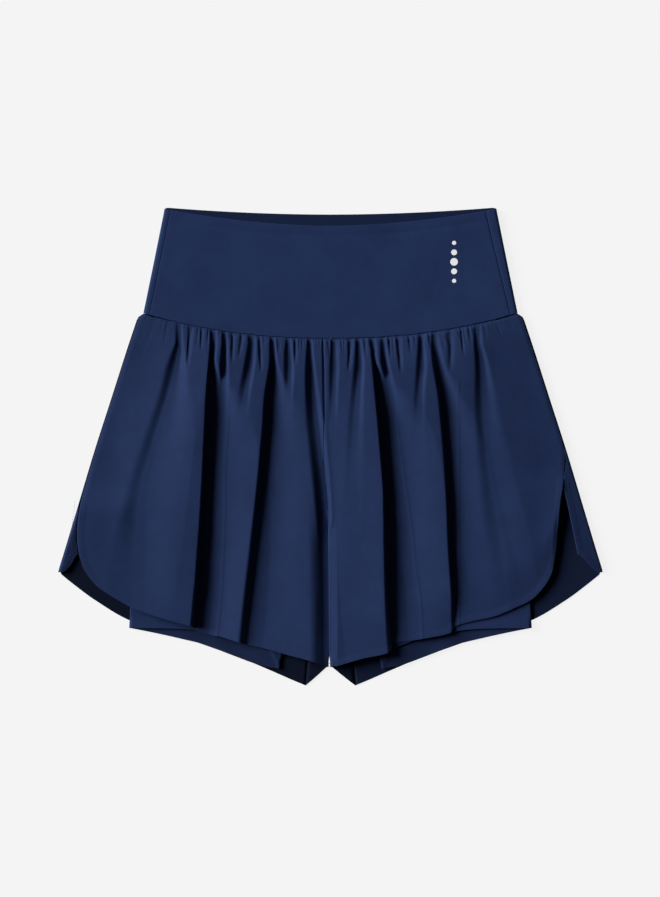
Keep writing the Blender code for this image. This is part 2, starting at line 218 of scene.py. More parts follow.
# ---- outlines, each row one point (x, y) ----
OUTLINE = curve_of(  # half outline below the band, from its corner to the side hem
    (
        (171.4, 122.2), (174.2, 121.0), (176.4, 119.2), (177.9, 116.5), (179.8, 111.0),
        (187.2, 88.8), (201.9, 42.8), (216.7, -3.2), (230.5, -49.2), (244.3, -95.2),
        (249.6, -112.5), (250.2, -115.5),
    ),
    key=1,
    value=0,
)
BACK_HEM = curve_of(  # half hem of the outer back, from the inseam to the side
    (
        (22.5, -219.9), (35.4, -214.6), (56.0, -205.6), (80.0, -195.6),
        (128.3, -178.3), (185.4, -159.6), (216.7, -141.2), (236.0, -127.0), (250.2, -115.5),
    )
)
RIGHT_HEM = curve_of(
    (
        (2.3, -202.9), (20.7, -196.4), (42.8, -190.5), (60.3, -185.4), (81.4, -180.8),
        (102.5, -174.2), (106.5, -174.0), (124.5, -168.4), (127.2, -165.7), (140.3, -161.8),
        (155.0, -157.8), (168.8, -153.2), (184.5, -147.2), (205.6, -134.8), (216.2, -127.0),
        (225.9, -114.5), (230.0, -105.5), (231.4, -98.9),
    )
)
LEFT_HEM = curve_of(
    (
        (0.5, -202.9), (27.1, -194.7), (53.4, -188.1), (57.0, -181.7), (81.4, -177.1),
        (109.6, -171.0), (112.2, -166.4), (128.3, -160.9), (150.4, -155.9), (167.9, -148.6),
        (185.0, -140.0), (197.3, -126.5), (203.5, -114.2), (206.0, -103.0), (206.8, -97.0),
    )
)
INNER_FRONT_HEM = curve_of(
    ((42.0, -193.0), (64.9, -182.6), (92.5, -174.3), (128.0, -168.2), (184.5, -166.8))
)
INNER_BACK_HEM = curve_of(
    (
        (47.4, -204.3), (64.9, -201.0), (91.0, -191.6), (115.6, -182.2), (136.2, -177.0),
        (160.8, -171.5), (184.5, -166.8),
    )
)
INSEAM_FLAP = curve_of(((47.4, -201.0), (53.8, -188.0)), key=1, value=0)
FRONT_SEAM = curve_of(((-6.9, 99.0), (-6.9, -3.0), (-2.3, -63.0), (-1.0, -204.0)), key=1, value=0)

# The side seam runs on the outermost edge and opens into the slit. Each row is the height, the
# edge of the outer front and the edge of the outer back where it comes forward round the side.
SLIT_TOP_Y = {Side.RIGHT: -52.0, Side.LEFT: -33.0}
SIDE_SEAM = (
    (122.2, 170.8, 171.1), (119.2, 175.3, 175.6), (111.0, 178.7, 179.0),
    (88.8, 186.1, 186.5), (42.8, 200.9, 201.2),
)
RIGHT_SLIT = SIDE_SEAM + (
    (-3.2, 215.6, 215.9), (-40.0, 226.4, 226.7), (-54.7, 230.3, 230.7), (-74.0, 233.0, 233.4),
    (-88.0, 232.8, 233.2), (-99.0, 231.4, 231.8), (-115.0, 229.0, 229.4),
)
LEFT_SLIT = SIDE_SEAM + (
    (-3.2, 215.4, 215.8), (-18.0, 215.6, 216.0), (-35.2, 213.2, 213.7), (-52.0, 210.6, 217.2),
    (-74.0, 208.6, 221.8), (-97.0, 206.8, 226.4), (-115.0, 204.0, 229.9),
)

# ---- gathers of the outer fronts ----
STATIONS = (95.0, 74.0, 48.0, 15.0, -40.0, -95.0, -146.0, -187.0)
FLOOR_WIDTH = 3.0  # the flat bottom of a fold, and the share of its gentle side that joins it
FLOOR_SHARE = 0.05
FLOOR_GROWTH = 9.0  # how much wider it gets towards the hem
FLOOR_ZONE = (0.0, 150.0)  # below which height, and over what length, it does so
RAMP_EASE = (0.95, 0.15)  # how softly the gentle side starts and ends, at the waist and below
RAMP_ZONE = (70.0, 90.0)
ROLL = 0.05  # share of the height by which a ridge rolls over before its steep edge
ROLL_REACH = (4.0, 11.0)  # how far before the edge that starts, at the waist and below
ROLL_ZONE = (90.0, 100.0)
STEP_WIDTH = 9.0  # how far beyond a fold's bottom the change of level is spread
MIDDLE_X = -2.6  # folds whose foot is on the +X side of it belong to the left front


def down(*values: float) -> Track:
    """A track over the stations, from the waist down. The last value holds to the hem."""
    return Track(STATIONS, values + values[-1:] * (len(STATIONS) - len(values)))


@dataclass(frozen=True)
class Fold:
    """A trough that runs down the leg, given at the stations from the waist to the hem.

    The cloth falls off a steep edge on the trough's -X side and rises gently on its +X side.

    Attributes:
        name: what other parts of the pattern call the fold.
        line: where its bottom stands, along X.
        depth: how much of the cloth's height it takes away, from 0 to 1.
        wall: width of its steep side, towards -X.
        rise: width of its gentle side, towards +X.
        step: how much higher the cloth lies beyond the fold, as a share of the height.
        lead: how much the cloth climbs on its way to the fold, and over what width.
        beyond: the same for its way on from the fold.
    """

    name: str
    line: Track
    depth: Track
    wall: Track
    rise: Track
    step: float = 0.0
    lead: tuple[float, float] = (0.0, 1.0)
    beyond: tuple[float, float] = (0.0, 1.0)

    @property
    def side(self) -> Side:
        """The front that the fold belongs to."""
        return Side.LEFT if self.line.at(STATIONS[-1]) > MIDDLE_X else Side.RIGHT

    def level(self, x: Array, y: Array) -> Array:
        """Change of the cloth's level that the fold brings.

        Args:
            x: places along X.
            y: places along Y.

        Returns:
            The change at each place, as a share of the height.
        """
        offset = x - self.line.at(y)
        lead = self.lead[0] * np.clip(-offset / self.lead[1], 0.0, 1.0)
        beyond = self.beyond[0] * np.clip(offset / self.beyond[1], 0.0, 1.0)
        return self.step * smoothstep(offset / STEP_WIDTH) + beyond - lead

    def take(self, x: Array, y: Array) -> Array:
        """Share of the cloth's height that the fold takes away.

        Args:
            x: places along X.
            y: places along Y.

        Returns:
            The share at each place, from 0 to 1.
        """
        offset = x - self.line.at(y)
        rise = self.rise.at(y)
        growth = FLOOR_GROWTH * below(*FLOOR_ZONE, y)
        floor = np.minimum(0.5 * rise, FLOOR_WIDTH + growth + FLOOR_SHARE * rise)
        up = np.clip((offset - floor) / (rise - floor), 0.0, 1.0)
        ease = mix(*RAMP_EASE, below(*RAMP_ZONE, y))
        gentle = 1.0 - up + ease * np.sin(2.0 * np.pi * up) / (2.0 * np.pi)
        roll_reach = mix(*ROLL_REACH, below(*ROLL_ZONE, y))
        rolled = ROLL * (1.0 - np.minimum(-offset / roll_reach, 1.0)) ** 2
        steep = (1.0 - ROLL) * bell(-offset / self.wall.at(y)) + rolled
        return np.clip(self.depth.at(y), 0.0, 1.0) * np.where(offset > 0.0, gentle, steep)


FOLDS = (
    Fold(
        "a",
        down(-140, -143.5, -150, -160, -175.5, -182, -187, -190),
        down(0.9, 0.9, 0.56, 0.48, 0.42, 0.28, 0.08, 0),
        down(3, 9, 9.5, 11, 14, 22, 27),
        down(5, 12, 22, 34, 44, 44, 40),
    ),
    Fold(
        "b",
        down(-109.5, -111.5, -114, -115.5, -117.5, -120.5, -124, -127),
        down(0.95, 1),
        down(2, 2, 2, 2.2, 2.5, 3.5, 5, 6),
        down(6, 7, 28, 45, 50, 50, 48, 47),
        step=-0.25,
        lead=(0.25, 60.0),
    ),
    Fold(
        "b_inner",
        down(-97.5, -98.5, -100, -103.5, -110, -115, -118, -120),
        down(0.9, 0.72, 0.42, 0.15, 0),
        down(3.5, 5, 5, 6),
        down(3, 4, 6, 9, 13),
    ),
    Fold(
        "c_outer",
        down(-72.5, -75, -80, -85, -89, -90.5, -92.5, -94.5),
        down(0.9, 0.6, 0.15, 0),
        down(4.5, 6.5, 7),
        down(4, 5, 6, 8, 9),
    ),
    Fold(
        "c",
        down(-54.5, -55, -59, -61, -64, -68, -73.5, -77.5),
        down(0.9, 0.9, 1, 1, 1, 0.97, 0.95, 0.92),
        down(2, 2.5, 3, 3.5, 6, 9, 10),
        down(4.5, 7, 24, 38, 48, 55, 60, 62),
        step=-0.18,
    ),
    Fold(
        "d_outer",
        down(-39.5, -39, -40, -41),
        down(0.85, 0.5, 0.12, 0),
        down(4, 6, 5, 5, 7.5),
        down(4, 5, 5, 5.5),
    ),
    Fold(
        "d",
        down(-19.5, -19, -17.5, -14, -7.5, -3.5, -2, -1.5),
        down(0.9, 0.85, 0.7, 0.5, 0.75, 0.9, 0.95, 1),
        down(3, 6, 8, 10, 11, 8, 7.5),
        down(3, 4, 6, 8, 6.5, 4.5, 3.5),
    ),
    Fold(
        "seam",
        down(-7.6, -7.6, -7.6, -7.6, -6.5, -4, -2, -1.5),
        down(0.4, 0.2, 0.1, 0.06, 0.05, 0.03, 0),
        down(1.3),
        down(1.4, 1.8, 2.4, 2.6),
    ),
    Fold(
        "e_inner",
        down(2.3, 2.3, 1, 0, -1, -2.5),
        down(0.85, 0.45, 0.18, 0),
        down(3.5, 5.5, 4.5),
        down(4, 5),
    ),
    Fold(
        "e_middle",
        down(25, 25.5, 22.5, 20, 18, 16),
        down(0.85, 0.5, 0.2, 0.12, 0.04, 0),
        down(3, 6, 6.5, 7, 8, 11),
        down(4, 5, 7, 9, 11, 12),
    ),
    Fold(
        "e",
        down(37.5, 39, 41, 44, 48.5, 51, 54, 58),
        down(0.9, 1),
        down(2, 2, 2, 2.2, 2.5, 4.5, 7, 8),
        down(4.5, 5, 28, 48, 55, 56, 57, 56),
        step=-0.33,
        lead=(0.5, 46.0),
    ),
    Fold(
        "e_outer",
        down(48, 49.5, 54, 55.5, 57, 58, 59, 60),
        down(0.85, 0.85, 0.45, 0.15, 0),
        down(4, 5, 5, 6),
        down(3, 4, 6, 10, 20),
    ),
    Fold(
        "f_inner",
        down(82.5, 82.5, 79.5, 78, 77, 76, 75),
        down(0.85, 0.45, 0.16, 0.05, 0),
        down(3, 6, 5, 6, 9, 10, 9),
        down(4, 5, 6, 8, 11, 12, 13),
    ),
    Fold(
        "f",
        down(95, 97, 100.5, 103.5, 107.5, 110, 114, 116.5),
        down(0.85, 0.85, 0.9, 1, 1, 1, 1, 0.95),
        down(5, 5, 4, 3.5, 3.5, 4, 5, 6),
        down(5, 8, 20, 32, 44, 50),
        step=-0.3,
    ),
    Fold(
        "g",
        down(134, 137, 138.5, 141, 147.5, 157, 163, 168),
        down(0.8, 0.6, 0.5, 0.5, 0.5, 0.4, 0.15, 0),
        down(4, 6.5, 8.5, 10, 12.5, 15),
        down(5, 9, 14, 18, 24, 28),
        beyond=(0.1, 50.0),
    ),
)

TUCK_SIDES = (0.8, 1.7)  # width of a tuck towards -X and +X, in half widths
TUCK_NARROWING = 0.35  # share of its width that it loses on its way down


@dataclass(frozen=True)
class Tuck:
    """A short gather that starts at the waist seam and fades out below it."""

    x: float
    drift: float
    reach: float
    half: float
    depth: float

    def take(self, x: Array, under: Array) -> Array:
        """Share of the height that the tuck takes away.

        Args:
            x: places along the seam.
            under: distances below the seam.

        Returns:
            The share at each place, from 0 to 1.
        """
        share = np.clip(under / self.reach, 0.0, 1.0)
        offset = x - self.x - self.drift * share
        half = self.half * np.where(offset < 0.0, *TUCK_SIDES) * (1.0 - TUCK_NARROWING * share)
        return self.depth * (1.0 - share) * bell(np.abs(offset) / half)


TUCKS = (  # x at the seam, drift towards +X, length, half width, depth
    (-160.5, -16.0, 45.0, 2.6, 0.6),
    (-149.5, -4.0, 25.2, 2.0, 0.56),
    (-129.0, -3.5, 40.5, 2.8, 0.76),
    (-118.5, -1.0, 21.6, 1.9, 0.48),
    (-90.5, -1.0, 28.8, 2.2, 0.76),
    (-81.5, -4.0, 24.3, 2.0, 0.6),
    (-66.0, 1.0, 34.2, 2.4, 0.72),
    (-61.5, -1.0, 10.8, 1.6, 0.4),
    (-49.0, 0.5, 16.2, 1.9, 0.6),
    (-45.0, -0.5, 9.0, 1.4, 0.4),
    (-33.0, -0.5, 25.2, 2.4, 0.72),
    (-15.5, 0.5, 8.1, 1.6, 0.48),
    (6.0, 0.5, 17.1, 1.8, 0.6),
    (18.0, -3.0, 30.6, 2.6, 0.76),
    (31.0, 0.5, 16.2, 1.9, 0.6),
    (53.5, 0.5, 19.8, 1.9, 0.68),
    (61.0, 2.0, 36.0, 2.9, 0.76),
    (71.5, 1.0, 18.0, 1.9, 0.48),
    (89.5, 1.5, 10.8, 1.6, 0.4),
    (109.5, -1.0, 39.6, 3.0, 0.76),
    (119.0, 2.0, 27.0, 2.1, 0.6),
    (126.0, 1.5, 16.2, 1.7, 0.36),
    (139.0, 3.5, 16.2, 1.8, 0.36),
    (149.0, 9.0, 18.0, 1.8, 0.4),
    (160.0, 11.0, 19.8, 1.8, 0.36),
)

PUCKER_SEED = 11
PUCKER_MARGIN = 3.0
PUCKER_SPACING = (2.2, 4.4)
PUCKER_HALF = (1.0, 1.6)
PUCKER_DRIFT = (-0.8, 0.8)
PUCKER_FAN = 0.02
PUCKER_REACH = (4.0, 22.0)
PUCKER_DEPTH = (0.2, 0.6)


def small_puckers() -> tuple[Tuck, ...]:
    """Fine puckers of the gathering thread, spread unevenly along the whole seam.

    Returns:
        The puckers, from -X to +X.
    """
    random = np.random.default_rng(PUCKER_SEED)
    puckers = []
    x = -BAND_FOOT_HALF + PUCKER_MARGIN
    while x < BAND_FOOT_HALF - PUCKER_MARGIN:
        half = random.uniform(*PUCKER_HALF)
        drift = random.uniform(*PUCKER_DRIFT) + PUCKER_FAN * x
        reach = random.uniform(*PUCKER_REACH)
        puckers.append(Tuck(x, drift, reach, half, random.uniform(*PUCKER_DEPTH)))
        x += random.uniform(*PUCKER_SPACING)
    return tuple(puckers)


ALL_TUCKS = tuple(Tuck(*row) for row in TUCKS) + small_puckers()


@dataclass(frozen=True)
class Crease:
    """A fine pressed edge on the cloth, raised a little."""

    name: str
    line: Track
    height: float
    starts: float
    half: float = 0.9
    fade: float = 20.0

    def lift(self, x: Array, y: Array) -> Array:
        """How far the crease stands up at a place."""
        shape = ridge(x - self.line.at(y), self.half)
        return self.height * shape * below(self.starts, self.fade, y)


CREASES = (
    Crease(
        "b_edge",
        Track((51, 24, -13, -68, -104, -141, -173), (-95, -94.5, -97, -97.5, -99, -101, -104.5)),
        0.35,
        60.0,
    ),
    Crease(
        "e_edge",
        Track((43, 24, -3, -25, -75, -104, -141, -169), (58.5, 60.5, 64, 67, 74, 77, 82, 84)),
        0.35,
        40.0,
    ),
    Crease("f_edge", Track((48, -3), (116.5, 117.5)), 0.3, 70.0),
)


# ---- seams and edges that several pieces share ----
@dataclass(frozen=True)
class DippedEdge:
    """An edge across the garment that is lowest at the middle."""

    middle_y: float
    rise: float
    half: float
    power: float

    def at(self, x: Array) -> Array:
        """Height of the edge at x."""
        return self.middle_y + self.rise * (np.abs(x) / self.half) ** self.power


FRONT_WAIST = DippedEdge(99.4, 23.2, BAND_FOOT_HALF, 2.2)
WAIST_RIPPLE = Ripple(0.22, 8.0, 5)
BACK_WAIST = DippedEdge(110.0, 12.6, BAND_FOOT_HALF, 2.0)
FRONT_BAND_TOP = DippedEdge(202.6, 15.2, 150.0, 1.85)
BACK_BAND_TOP = DippedEdge(213.3, 6.5, BAND_TOP_HALF, 1.9)
CORNER_WIDTH = 3.5  # rounding of the two top corners of the back waistband
CORNER_DEPTH = 1.6


def front_waist_seam(x: Array) -> Array:
    """Foot of the front waistband, a little uneven from the gathers."""
    return FRONT_WAIST.at(x) + WAIST_RIPPLE.at(x, 0.0)


def back_band_top(x: Array) -> Array:
    """Top edge of the back waistband, rounded off at the two corners."""
    corner = np.clip((np.abs(x) - BAND_TOP_HALF + CORNER_WIDTH) / CORNER_WIDTH, 0.0, 1.0)
    return BACK_BAND_TOP.at(x) - CORNER_DEPTH * corner**2


def inseam(y: Array) -> Array:
    """Distance of the outer inseam from the middle, below the crotch."""
    share = np.clip((CROTCH_Y - y) / (CROTCH_Y - INSEAM_HEM_Y), 0.0, 1.0)
    return mix(INSEAM_TOP_X, INSEAM_HEM_X, share**INSEAM_BEND)


def inner_edge(y: Array) -> Array:
    """Distance of the inner shorts' inside edge from the middle."""
    share = np.clip((INNER_CROTCH_Y - y) / INNER_LEG_LENGTH, 0.0, 1.2)
    return SEAM_GAP / 2 + INNER_SPLAY * share**INNER_SPLAY_BEND


def inner_side(y: Array) -> Array:
    """Distance of the inner shorts' outer side from the middle."""
    return mix(INNER_TOP_HALF, INNER_HEM_HALF, (PANEL_TOP_Y - y) / INNER_SIDE_LENGTH)


# ---- small geometry ----
HEM_RAISE = 0.3  # height that the second layer of a turned hem adds, and how softly it ends
HEM_SOFTNESS = 0.9
STITCH_SINK = 0.22  # depth of the groove that the stitches draw in, and half its width
STITCH_GROOVE = 0.55
HEM_STEPS = 24  # steps in which a column finds its hem, and the share of the way each one goes
HEM_STEP = 0.6


def edge_distance(x: Array, y: Array, edge: Array) -> Array:
    """Distance from each place to an edge.

    Args:
        x: places along X.
        y: places along Y, of the same shape.
        edge: the edge's points, one (x, y) a row.

    Returns:
        The distance at each place, in the same shape.
    """
    spots = np.stack((x.ravel(), y.ravel()), axis=1)
    starts, steps = edge[:-1], np.diff(edge, axis=0)
    lengths = np.maximum((steps**2).sum(axis=1), 1e-9)
    nearest = np.full(len(spots), np.inf)
    for start, step, length in zip(starts, steps, lengths):
        share = np.clip(((spots - start) @ step) / length, 0.0, 1.0)
        gap = spots - start - share[:, None] * step
        nearest = np.minimum(nearest, (gap**2).sum(axis=1))
    return np.sqrt(nearest).reshape(x.shape)


def even_path(edge: Array, spacing: float) -> Array:
    """Spaces an edge's points evenly.

    Args:
        edge: the edge's points, one a row.
        spacing: distance from point to point.

    Returns:
        The new points.
    """
    lengths = np.concatenate(([0.0], np.cumsum(np.linalg.norm(np.diff(edge, axis=0), axis=1))))
    places = np.arange(0.0, lengths[-1], spacing)
    return np.stack([np.interp(places, lengths, column) for column in edge.T], axis=1)


def offset_path(edge: Array, distance: float) -> Array:
    """Moves an edge sideways.

    Args:
        edge: the edge's points, one (x, y) a row.
        distance: how far, positive to the left of its direction.

    Returns:
        The moved points.
    """
    along = np.gradient(edge, axis=0)
    along /= np.maximum(np.linalg.norm(along, axis=1, keepdims=True), 1e-9)
    return edge + distance * np.stack((-along[:, 1], along[:, 0]), axis=1)


def hem_lift(distance: Array) -> Array:
    """Height that a turned hem and its stitches add at a distance from the edge."""
    doubled = HEM_RAISE * (1.0 - smoothstep((distance - HEM_WIDTH) / HEM_SOFTNESS))
    return doubled - STITCH_SINK * ridge(distance - STITCH_IN, STITCH_GROOVE)


def row_heights(
    top: Array, foot: Array, rows: tuple[int, int], ease: tuple[float, float] = (1.0, 1.5)
) -> Array:
    """Heights of a piece's rows.

    Args:
        top: height of each column's first row.
        foot: height of each column's last row.
        rows: how many lie above the crotch, and how many below it.
        ease: powers that bring them closer together towards the waist and the hem.

    Returns:
        The heights, rows by columns.
    """
    upper = np.linspace(0.0, 1.0, rows[0])[:, None] ** ease[0]
    lower = 1.0 - (1.0 - np.linspace(0.0, 1.0, rows[1] + 1)[1:, None]) ** ease[1]
    return np.concatenate((mix(top, CROTCH_Y, upper), mix(CROTCH_Y, foot, lower)), axis=0)


def hem_heights(hem: Track, columns: Callable[[Array], Array], count: int) -> Array:
    """Finds the height at which each column of a piece meets its hem.

    Args:
        hem: the hem's height over the distance from the middle.
        columns: gives each column's distance from the middle for its height.
        count: how many columns there are.

    Returns:
        The heights, as one row.
    """
    foot = np.full((1, count), SIDE_HEM_Y)
    for _ in range(HEM_STEPS):
        foot = mix(foot, hem.at(columns(foot)), HEM_STEP)
    return foot


def half_turn(
    edge_x: Array, depth: float, low: Array, high: Array, share: Array
) -> tuple[Array, Array]:
    """A place (x, z) on a rounded fold.

    Args:
        edge_x: the fold's outermost place.
        depth: how deep the round is along X.
        low: height where it starts.
        high: height where it ends.
        share: how far round, from 0 at the low side to 1 at the high side.

    Returns:
        The place along X and its height.
    """
    turn = np.pi * share
    x = edge_x - np.sign(edge_x) * depth * (1.0 - np.sin(turn))
    z = (low + high) / 2 - (high - low) / 2 * np.cos(turn)
    return np.broadcast_arrays(x, z)


# ---- finishes ----
PATCHES = (38.0, 8.0, 0.78)  # noise of the dye: features to the metre, detail and roughness
PATCH_SPREAD = 0.12
PATCH_ENDS = (0.3, 0.7)
REVERSE_AND_SHADE_TOP = (2.6, 3.6)  # heights below which cloth takes its reverse colour darkened by painted shade, passing to its face colour by the upper one
CRUMPLES = (55.0, 2.5)  # noise, features to the metre and detail
FIBRES = (2600.0, 2.0)
FIBRE_DEPTH = 0.01
WAVE_UNIT = 20.0  # turns of phase that the wave texture makes in one unit at scale 1
THREAD_WAVER: Inputs = {"Distortion": 0.6, "Detail": 1.0, "Detail Scale": 0.5}
GRAIN_DETAIL = 3.0
GRAIN_SPREAD = 0.03
WHITE = (1.0, 1.0, 1.0, 1.0)


def tint(colour: Colour, factor: float) -> tuple[float, float, float, float]:
    """A colour made lighter or darker, with full opacity."""
    return (colour[0] * factor, colour[1] * factor, colour[2] * factor, 1.0)


class Nodes:
    """A new material, with short ways to add to its nodes."""

    def __init__(self, name: str) -> None:
        """Makes the material.

        Args:
            name: the material's name.
        """
        self.material = bpy.data.materials.new(name)
        self.material.use_nodes = True
        self.tree = self.material.node_tree
        self.shader = self.tree.nodes["Principled BSDF"]
        self.place = self.add("ShaderNodeTexCoord").outputs["Object"]

    def fill(self, node: bpy.types.Node, inputs: Inputs) -> None:
        """Sets or links the inputs of a node.

        Args:
            node: the node.
            inputs: for each input its value, or the socket that feeds it.
        """
        for name, value in inputs.items():
            if isinstance(value, Socket):
                self.tree.links.new(value, node.inputs[name])
            else:
                node.inputs[name].default_value = value

    def add(self, kind: str, inputs: Inputs | None = None, **settings: object) -> bpy.types.Node:
        """Adds a node.

        Args:
            kind: its type.
            inputs: values of its inputs, or sockets that feed them.
            settings: values of its own properties.

        Returns:
            The node.
        """
        node = self.tree.nodes.new(kind)
        for name, value in settings.items():
            setattr(node, name, value)
        self.fill(node, inputs or {})
        return node

    def noise(self, vector: Socket, scale: float, detail: float, rough: float = 0.5) -> Socket:
        """Value of a noise with a number of features to the metre."""
        inputs = {"Vector": vector, "Scale": scale, "Detail": detail, "Roughness": rough}
        return self.add("ShaderNodeTexNoise", inputs).outputs["Fac"]

    def bump(self, height: Socket, depth: float, after: Socket | None = None) -> Socket:
        """Bends the light as a relief would.

        Args:
            height: the relief, from 0 to 1.
            depth: how many millimetres that is.
            after: an earlier bump that this one is laid over.

        Returns:
            The bent normal.
        """
        inputs = {"Strength": 1.0, "Distance": depth * MM, "Height": height}
        if after is not None:
            inputs["Normal"] = after
        return self.add("ShaderNodeBump", inputs).outputs["Normal"]

    def shades(
        self, amount: Socket, colour: Colour, spread: float, ends: tuple[float, float] = (0.0, 1.0)
    ) -> Socket:
        """Makes a colour uneven.

        Args:
            amount: what it follows, from 0 to 1.
            colour: the colour at the middle.
            spread: how much darker and lighter it gets.
            ends: amounts at which it is darkest and lightest.

        Returns:
            The colour's socket.
        """
        ramp = self.add("ShaderNodeValToRGB", {"Fac": amount})
        for index, factor in enumerate((1.0 - spread, 1.0 + spread)):
            element = ramp.color_ramp.elements[index]
            element.position = ends[index]
            element.color = tint(colour, factor)
        return ramp.outputs["Color"]


@dataclass(frozen=True)
class ClothFinish:
    """A dyed cloth: its colour, its threads and how it takes the light."""

    name: str
    colour: Colour
    reverse_and_shade: float  # how bright its inside is, as a share of its face; partly the reverse's own duller colour, partly painted shade
    weave: Weave
    pitch: float
    roughness: float
    gloss: float
    crumple: float
    thread_depth: float = 0.015

    def threads(self, nodes: Nodes, cut: Socket) -> Socket:
        """Height of the two sets of threads.

        Args:
            nodes: the material's nodes.
            cut: places on the cloth's own cut.

        Returns:
            The height, from 0 to 1.
        """
        scale = 2.0 * math.pi / (WAVE_UNIT * self.pitch * MM)
        heights = []
        for angle in (0.0, self.weave.value):
            slant = (0.0, 0.0, math.radians(angle))
            turned = nodes.add("ShaderNodeMapping", {"Vector": cut, "Rotation": slant})
            inputs = {"Vector": turned.outputs["Vector"], "Scale": scale, **THREAD_WAVER}
            wave = nodes.add("ShaderNodeTexWave", inputs, wave_type="BANDS", bands_direction="X")
            heights.append(wave.outputs["Fac"])
        both = nodes.add("ShaderNodeMath", dict(enumerate(heights)), operation="MULTIPLY")
        return both.outputs[0]

    def dye_and_shade(self, nodes: Nodes) -> Socket:
        """The cloth's colour, a little uneven, and darker on low layers near the table: its reverse's
        duller colour with painted shade.

        Args:
            nodes: the material's nodes.

        Returns:
            The colour.
        """
        patches = nodes.noise(nodes.place, *PATCHES)
        face = nodes.shades(patches, self.colour, PATCH_SPREAD, PATCH_ENDS)
        height = nodes.add("ShaderNodeSeparateXYZ", {0: nodes.place}).outputs["Z"]
        span = {"From Min": REVERSE_AND_SHADE_TOP[0] * MM, "From Max": REVERSE_AND_SHADE_TOP[1] * MM, "Value": height}
        unshaded_face = nodes.add("ShaderNodeMapRange", span).outputs["Result"]
        face_or_shaded_reverse = {"A": tint(self.colour, self.reverse_and_shade), "B": face, "Factor": unshaded_face}
        return nodes.add("ShaderNodeMix", face_or_shaded_reverse, data_type="RGBA").outputs["Result"]

    def material(self) -> bpy.types.Material:
        """Makes the finish's material.

        Returns:
            The material.
        """
        nodes = Nodes(self.name)
        cut = nodes.add("ShaderNodeUVMap", uv_map="cut").outputs["UV"]
        crumpled = nodes.bump(nodes.noise(nodes.place, *CRUMPLES), self.crumple)
        fibres = nodes.bump(nodes.noise(cut, *FIBRES), FIBRE_DEPTH, crumpled)
        looks = {
            "Base Color": self.dye_and_shade(nodes),
            "Roughness": self.roughness,
            "Specular IOR Level": self.gloss,
            "Normal": nodes.bump(self.threads(nodes, cut), self.thread_depth, fibres),
        }
        nodes.fill(nodes.shader, looks)
        return nodes.material


@dataclass(frozen=True)
class PlainFinish:
    """A small part's finish: thread, print or floor."""

    name: str
    colour: Colour
    roughness: float
    grain: float
    grain_depth: float
    glow: float = 0.0

    def material(self) -> bpy.types.Material:
        """Makes the finish's material.

        Returns:
            The material.
        """
        nodes = Nodes(self.name)
        grain = nodes.noise(nodes.place, self.grain, GRAIN_DETAIL)
        looks = {
            "Base Color": nodes.shades(grain, self.colour, GRAIN_SPREAD),
            "Roughness": self.roughness,
            "Normal": nodes.bump(grain, self.grain_depth),
        }
        if self.glow > 0.0:
            looks.update({"Emission Color": WHITE, "Emission Strength": self.glow})
        nodes.fill(nodes.shader, looks)
        return nodes.material


SHELL = ClothFinish(
    "shell_cloth",
    (0.0136, 0.0262, 0.0795),
    # the dark reverse is mostly painted shade, on the back's inside seen at the slits and below the
    # hems
    reverse_and_shade=0.19,
    weave=Weave.WOVEN,
    pitch=0.42,
    roughness=0.75,
    gloss=0.06,
    crumple=0.15,
)
LIT_REVERSE = 0.38  # the inside of the left back faces the light; the right one's is in the shade
BAND = ClothFinish(
    "band_knit",
    (0.0146, 0.0283, 0.0870),
    # the darker reverse is partly painted shade, on the back band's inside between the two waist
    # edges
    reverse_and_shade=0.52,
    weave=Weave.JERSEY,
    pitch=0.5,
    roughness=0.8,
    gloss=0.05,
    crumple=0.12,
)
LINER = replace(
    BAND,
    name="liner_knit",
    colour=(0.0128, 0.0244, 0.0760),
    # the darker reverse is partly painted shade, on the liner's back layer below the front layer's
    # hem
    reverse_and_shade=0.66,
    roughness=0.7,
    gloss=0.06,
)
THREAD = PlainFinish("thread", (0.009, 0.017, 0.050), 0.6, 3000.0, 0.02)
DOT_PRINT = PlainFinish("mark_print", (0.86, 0.87, 0.88), 0.5, 900.0, 0.02)
FLOOR = PlainFinish("table_top", (0.05, 0.05, 0.05), 0.9, 3.0, 0.0, glow=0.845)


# ---- making and declaring pieces ----
def cut_lengths(points: Array) -> tuple[Array, Array]:
    """How far each point of a grid lies along its row and down its column.

    Args:
        points: rows by columns by (x, y, z).

    Returns:
        Both lengths at each point, in metres.
    """
    across = np.zeros(points.shape[:2])
    down_length = np.zeros(points.shape[:2])
    across[:, 1:] = np.cumsum(np.linalg.norm(np.diff(points, axis=1), axis=2), axis=1)
    down_length[1:] = np.cumsum(np.linalg.norm(np.diff(points, axis=0), axis=2), axis=0)
    return across * MM, down_length * MM


def add_object(
    name: str, shape: bmesh.types.BMesh, material: bpy.types.Material
) -> bpy.types.Object:
    """Puts a finished shape into the scene.

    Args:
        name: the object's name.
        shape: its shape, which is used up.
        material: its finish.

    Returns:
        The object.
    """
    mesh = bpy.data.meshes.new(name)
    shape.to_mesh(mesh)
    shape.free()
    mesh.materials.append(material)
    piece = bpy.data.objects.new(name, mesh)
    bpy.context.scene.collection.objects.link(piece)
    return piece


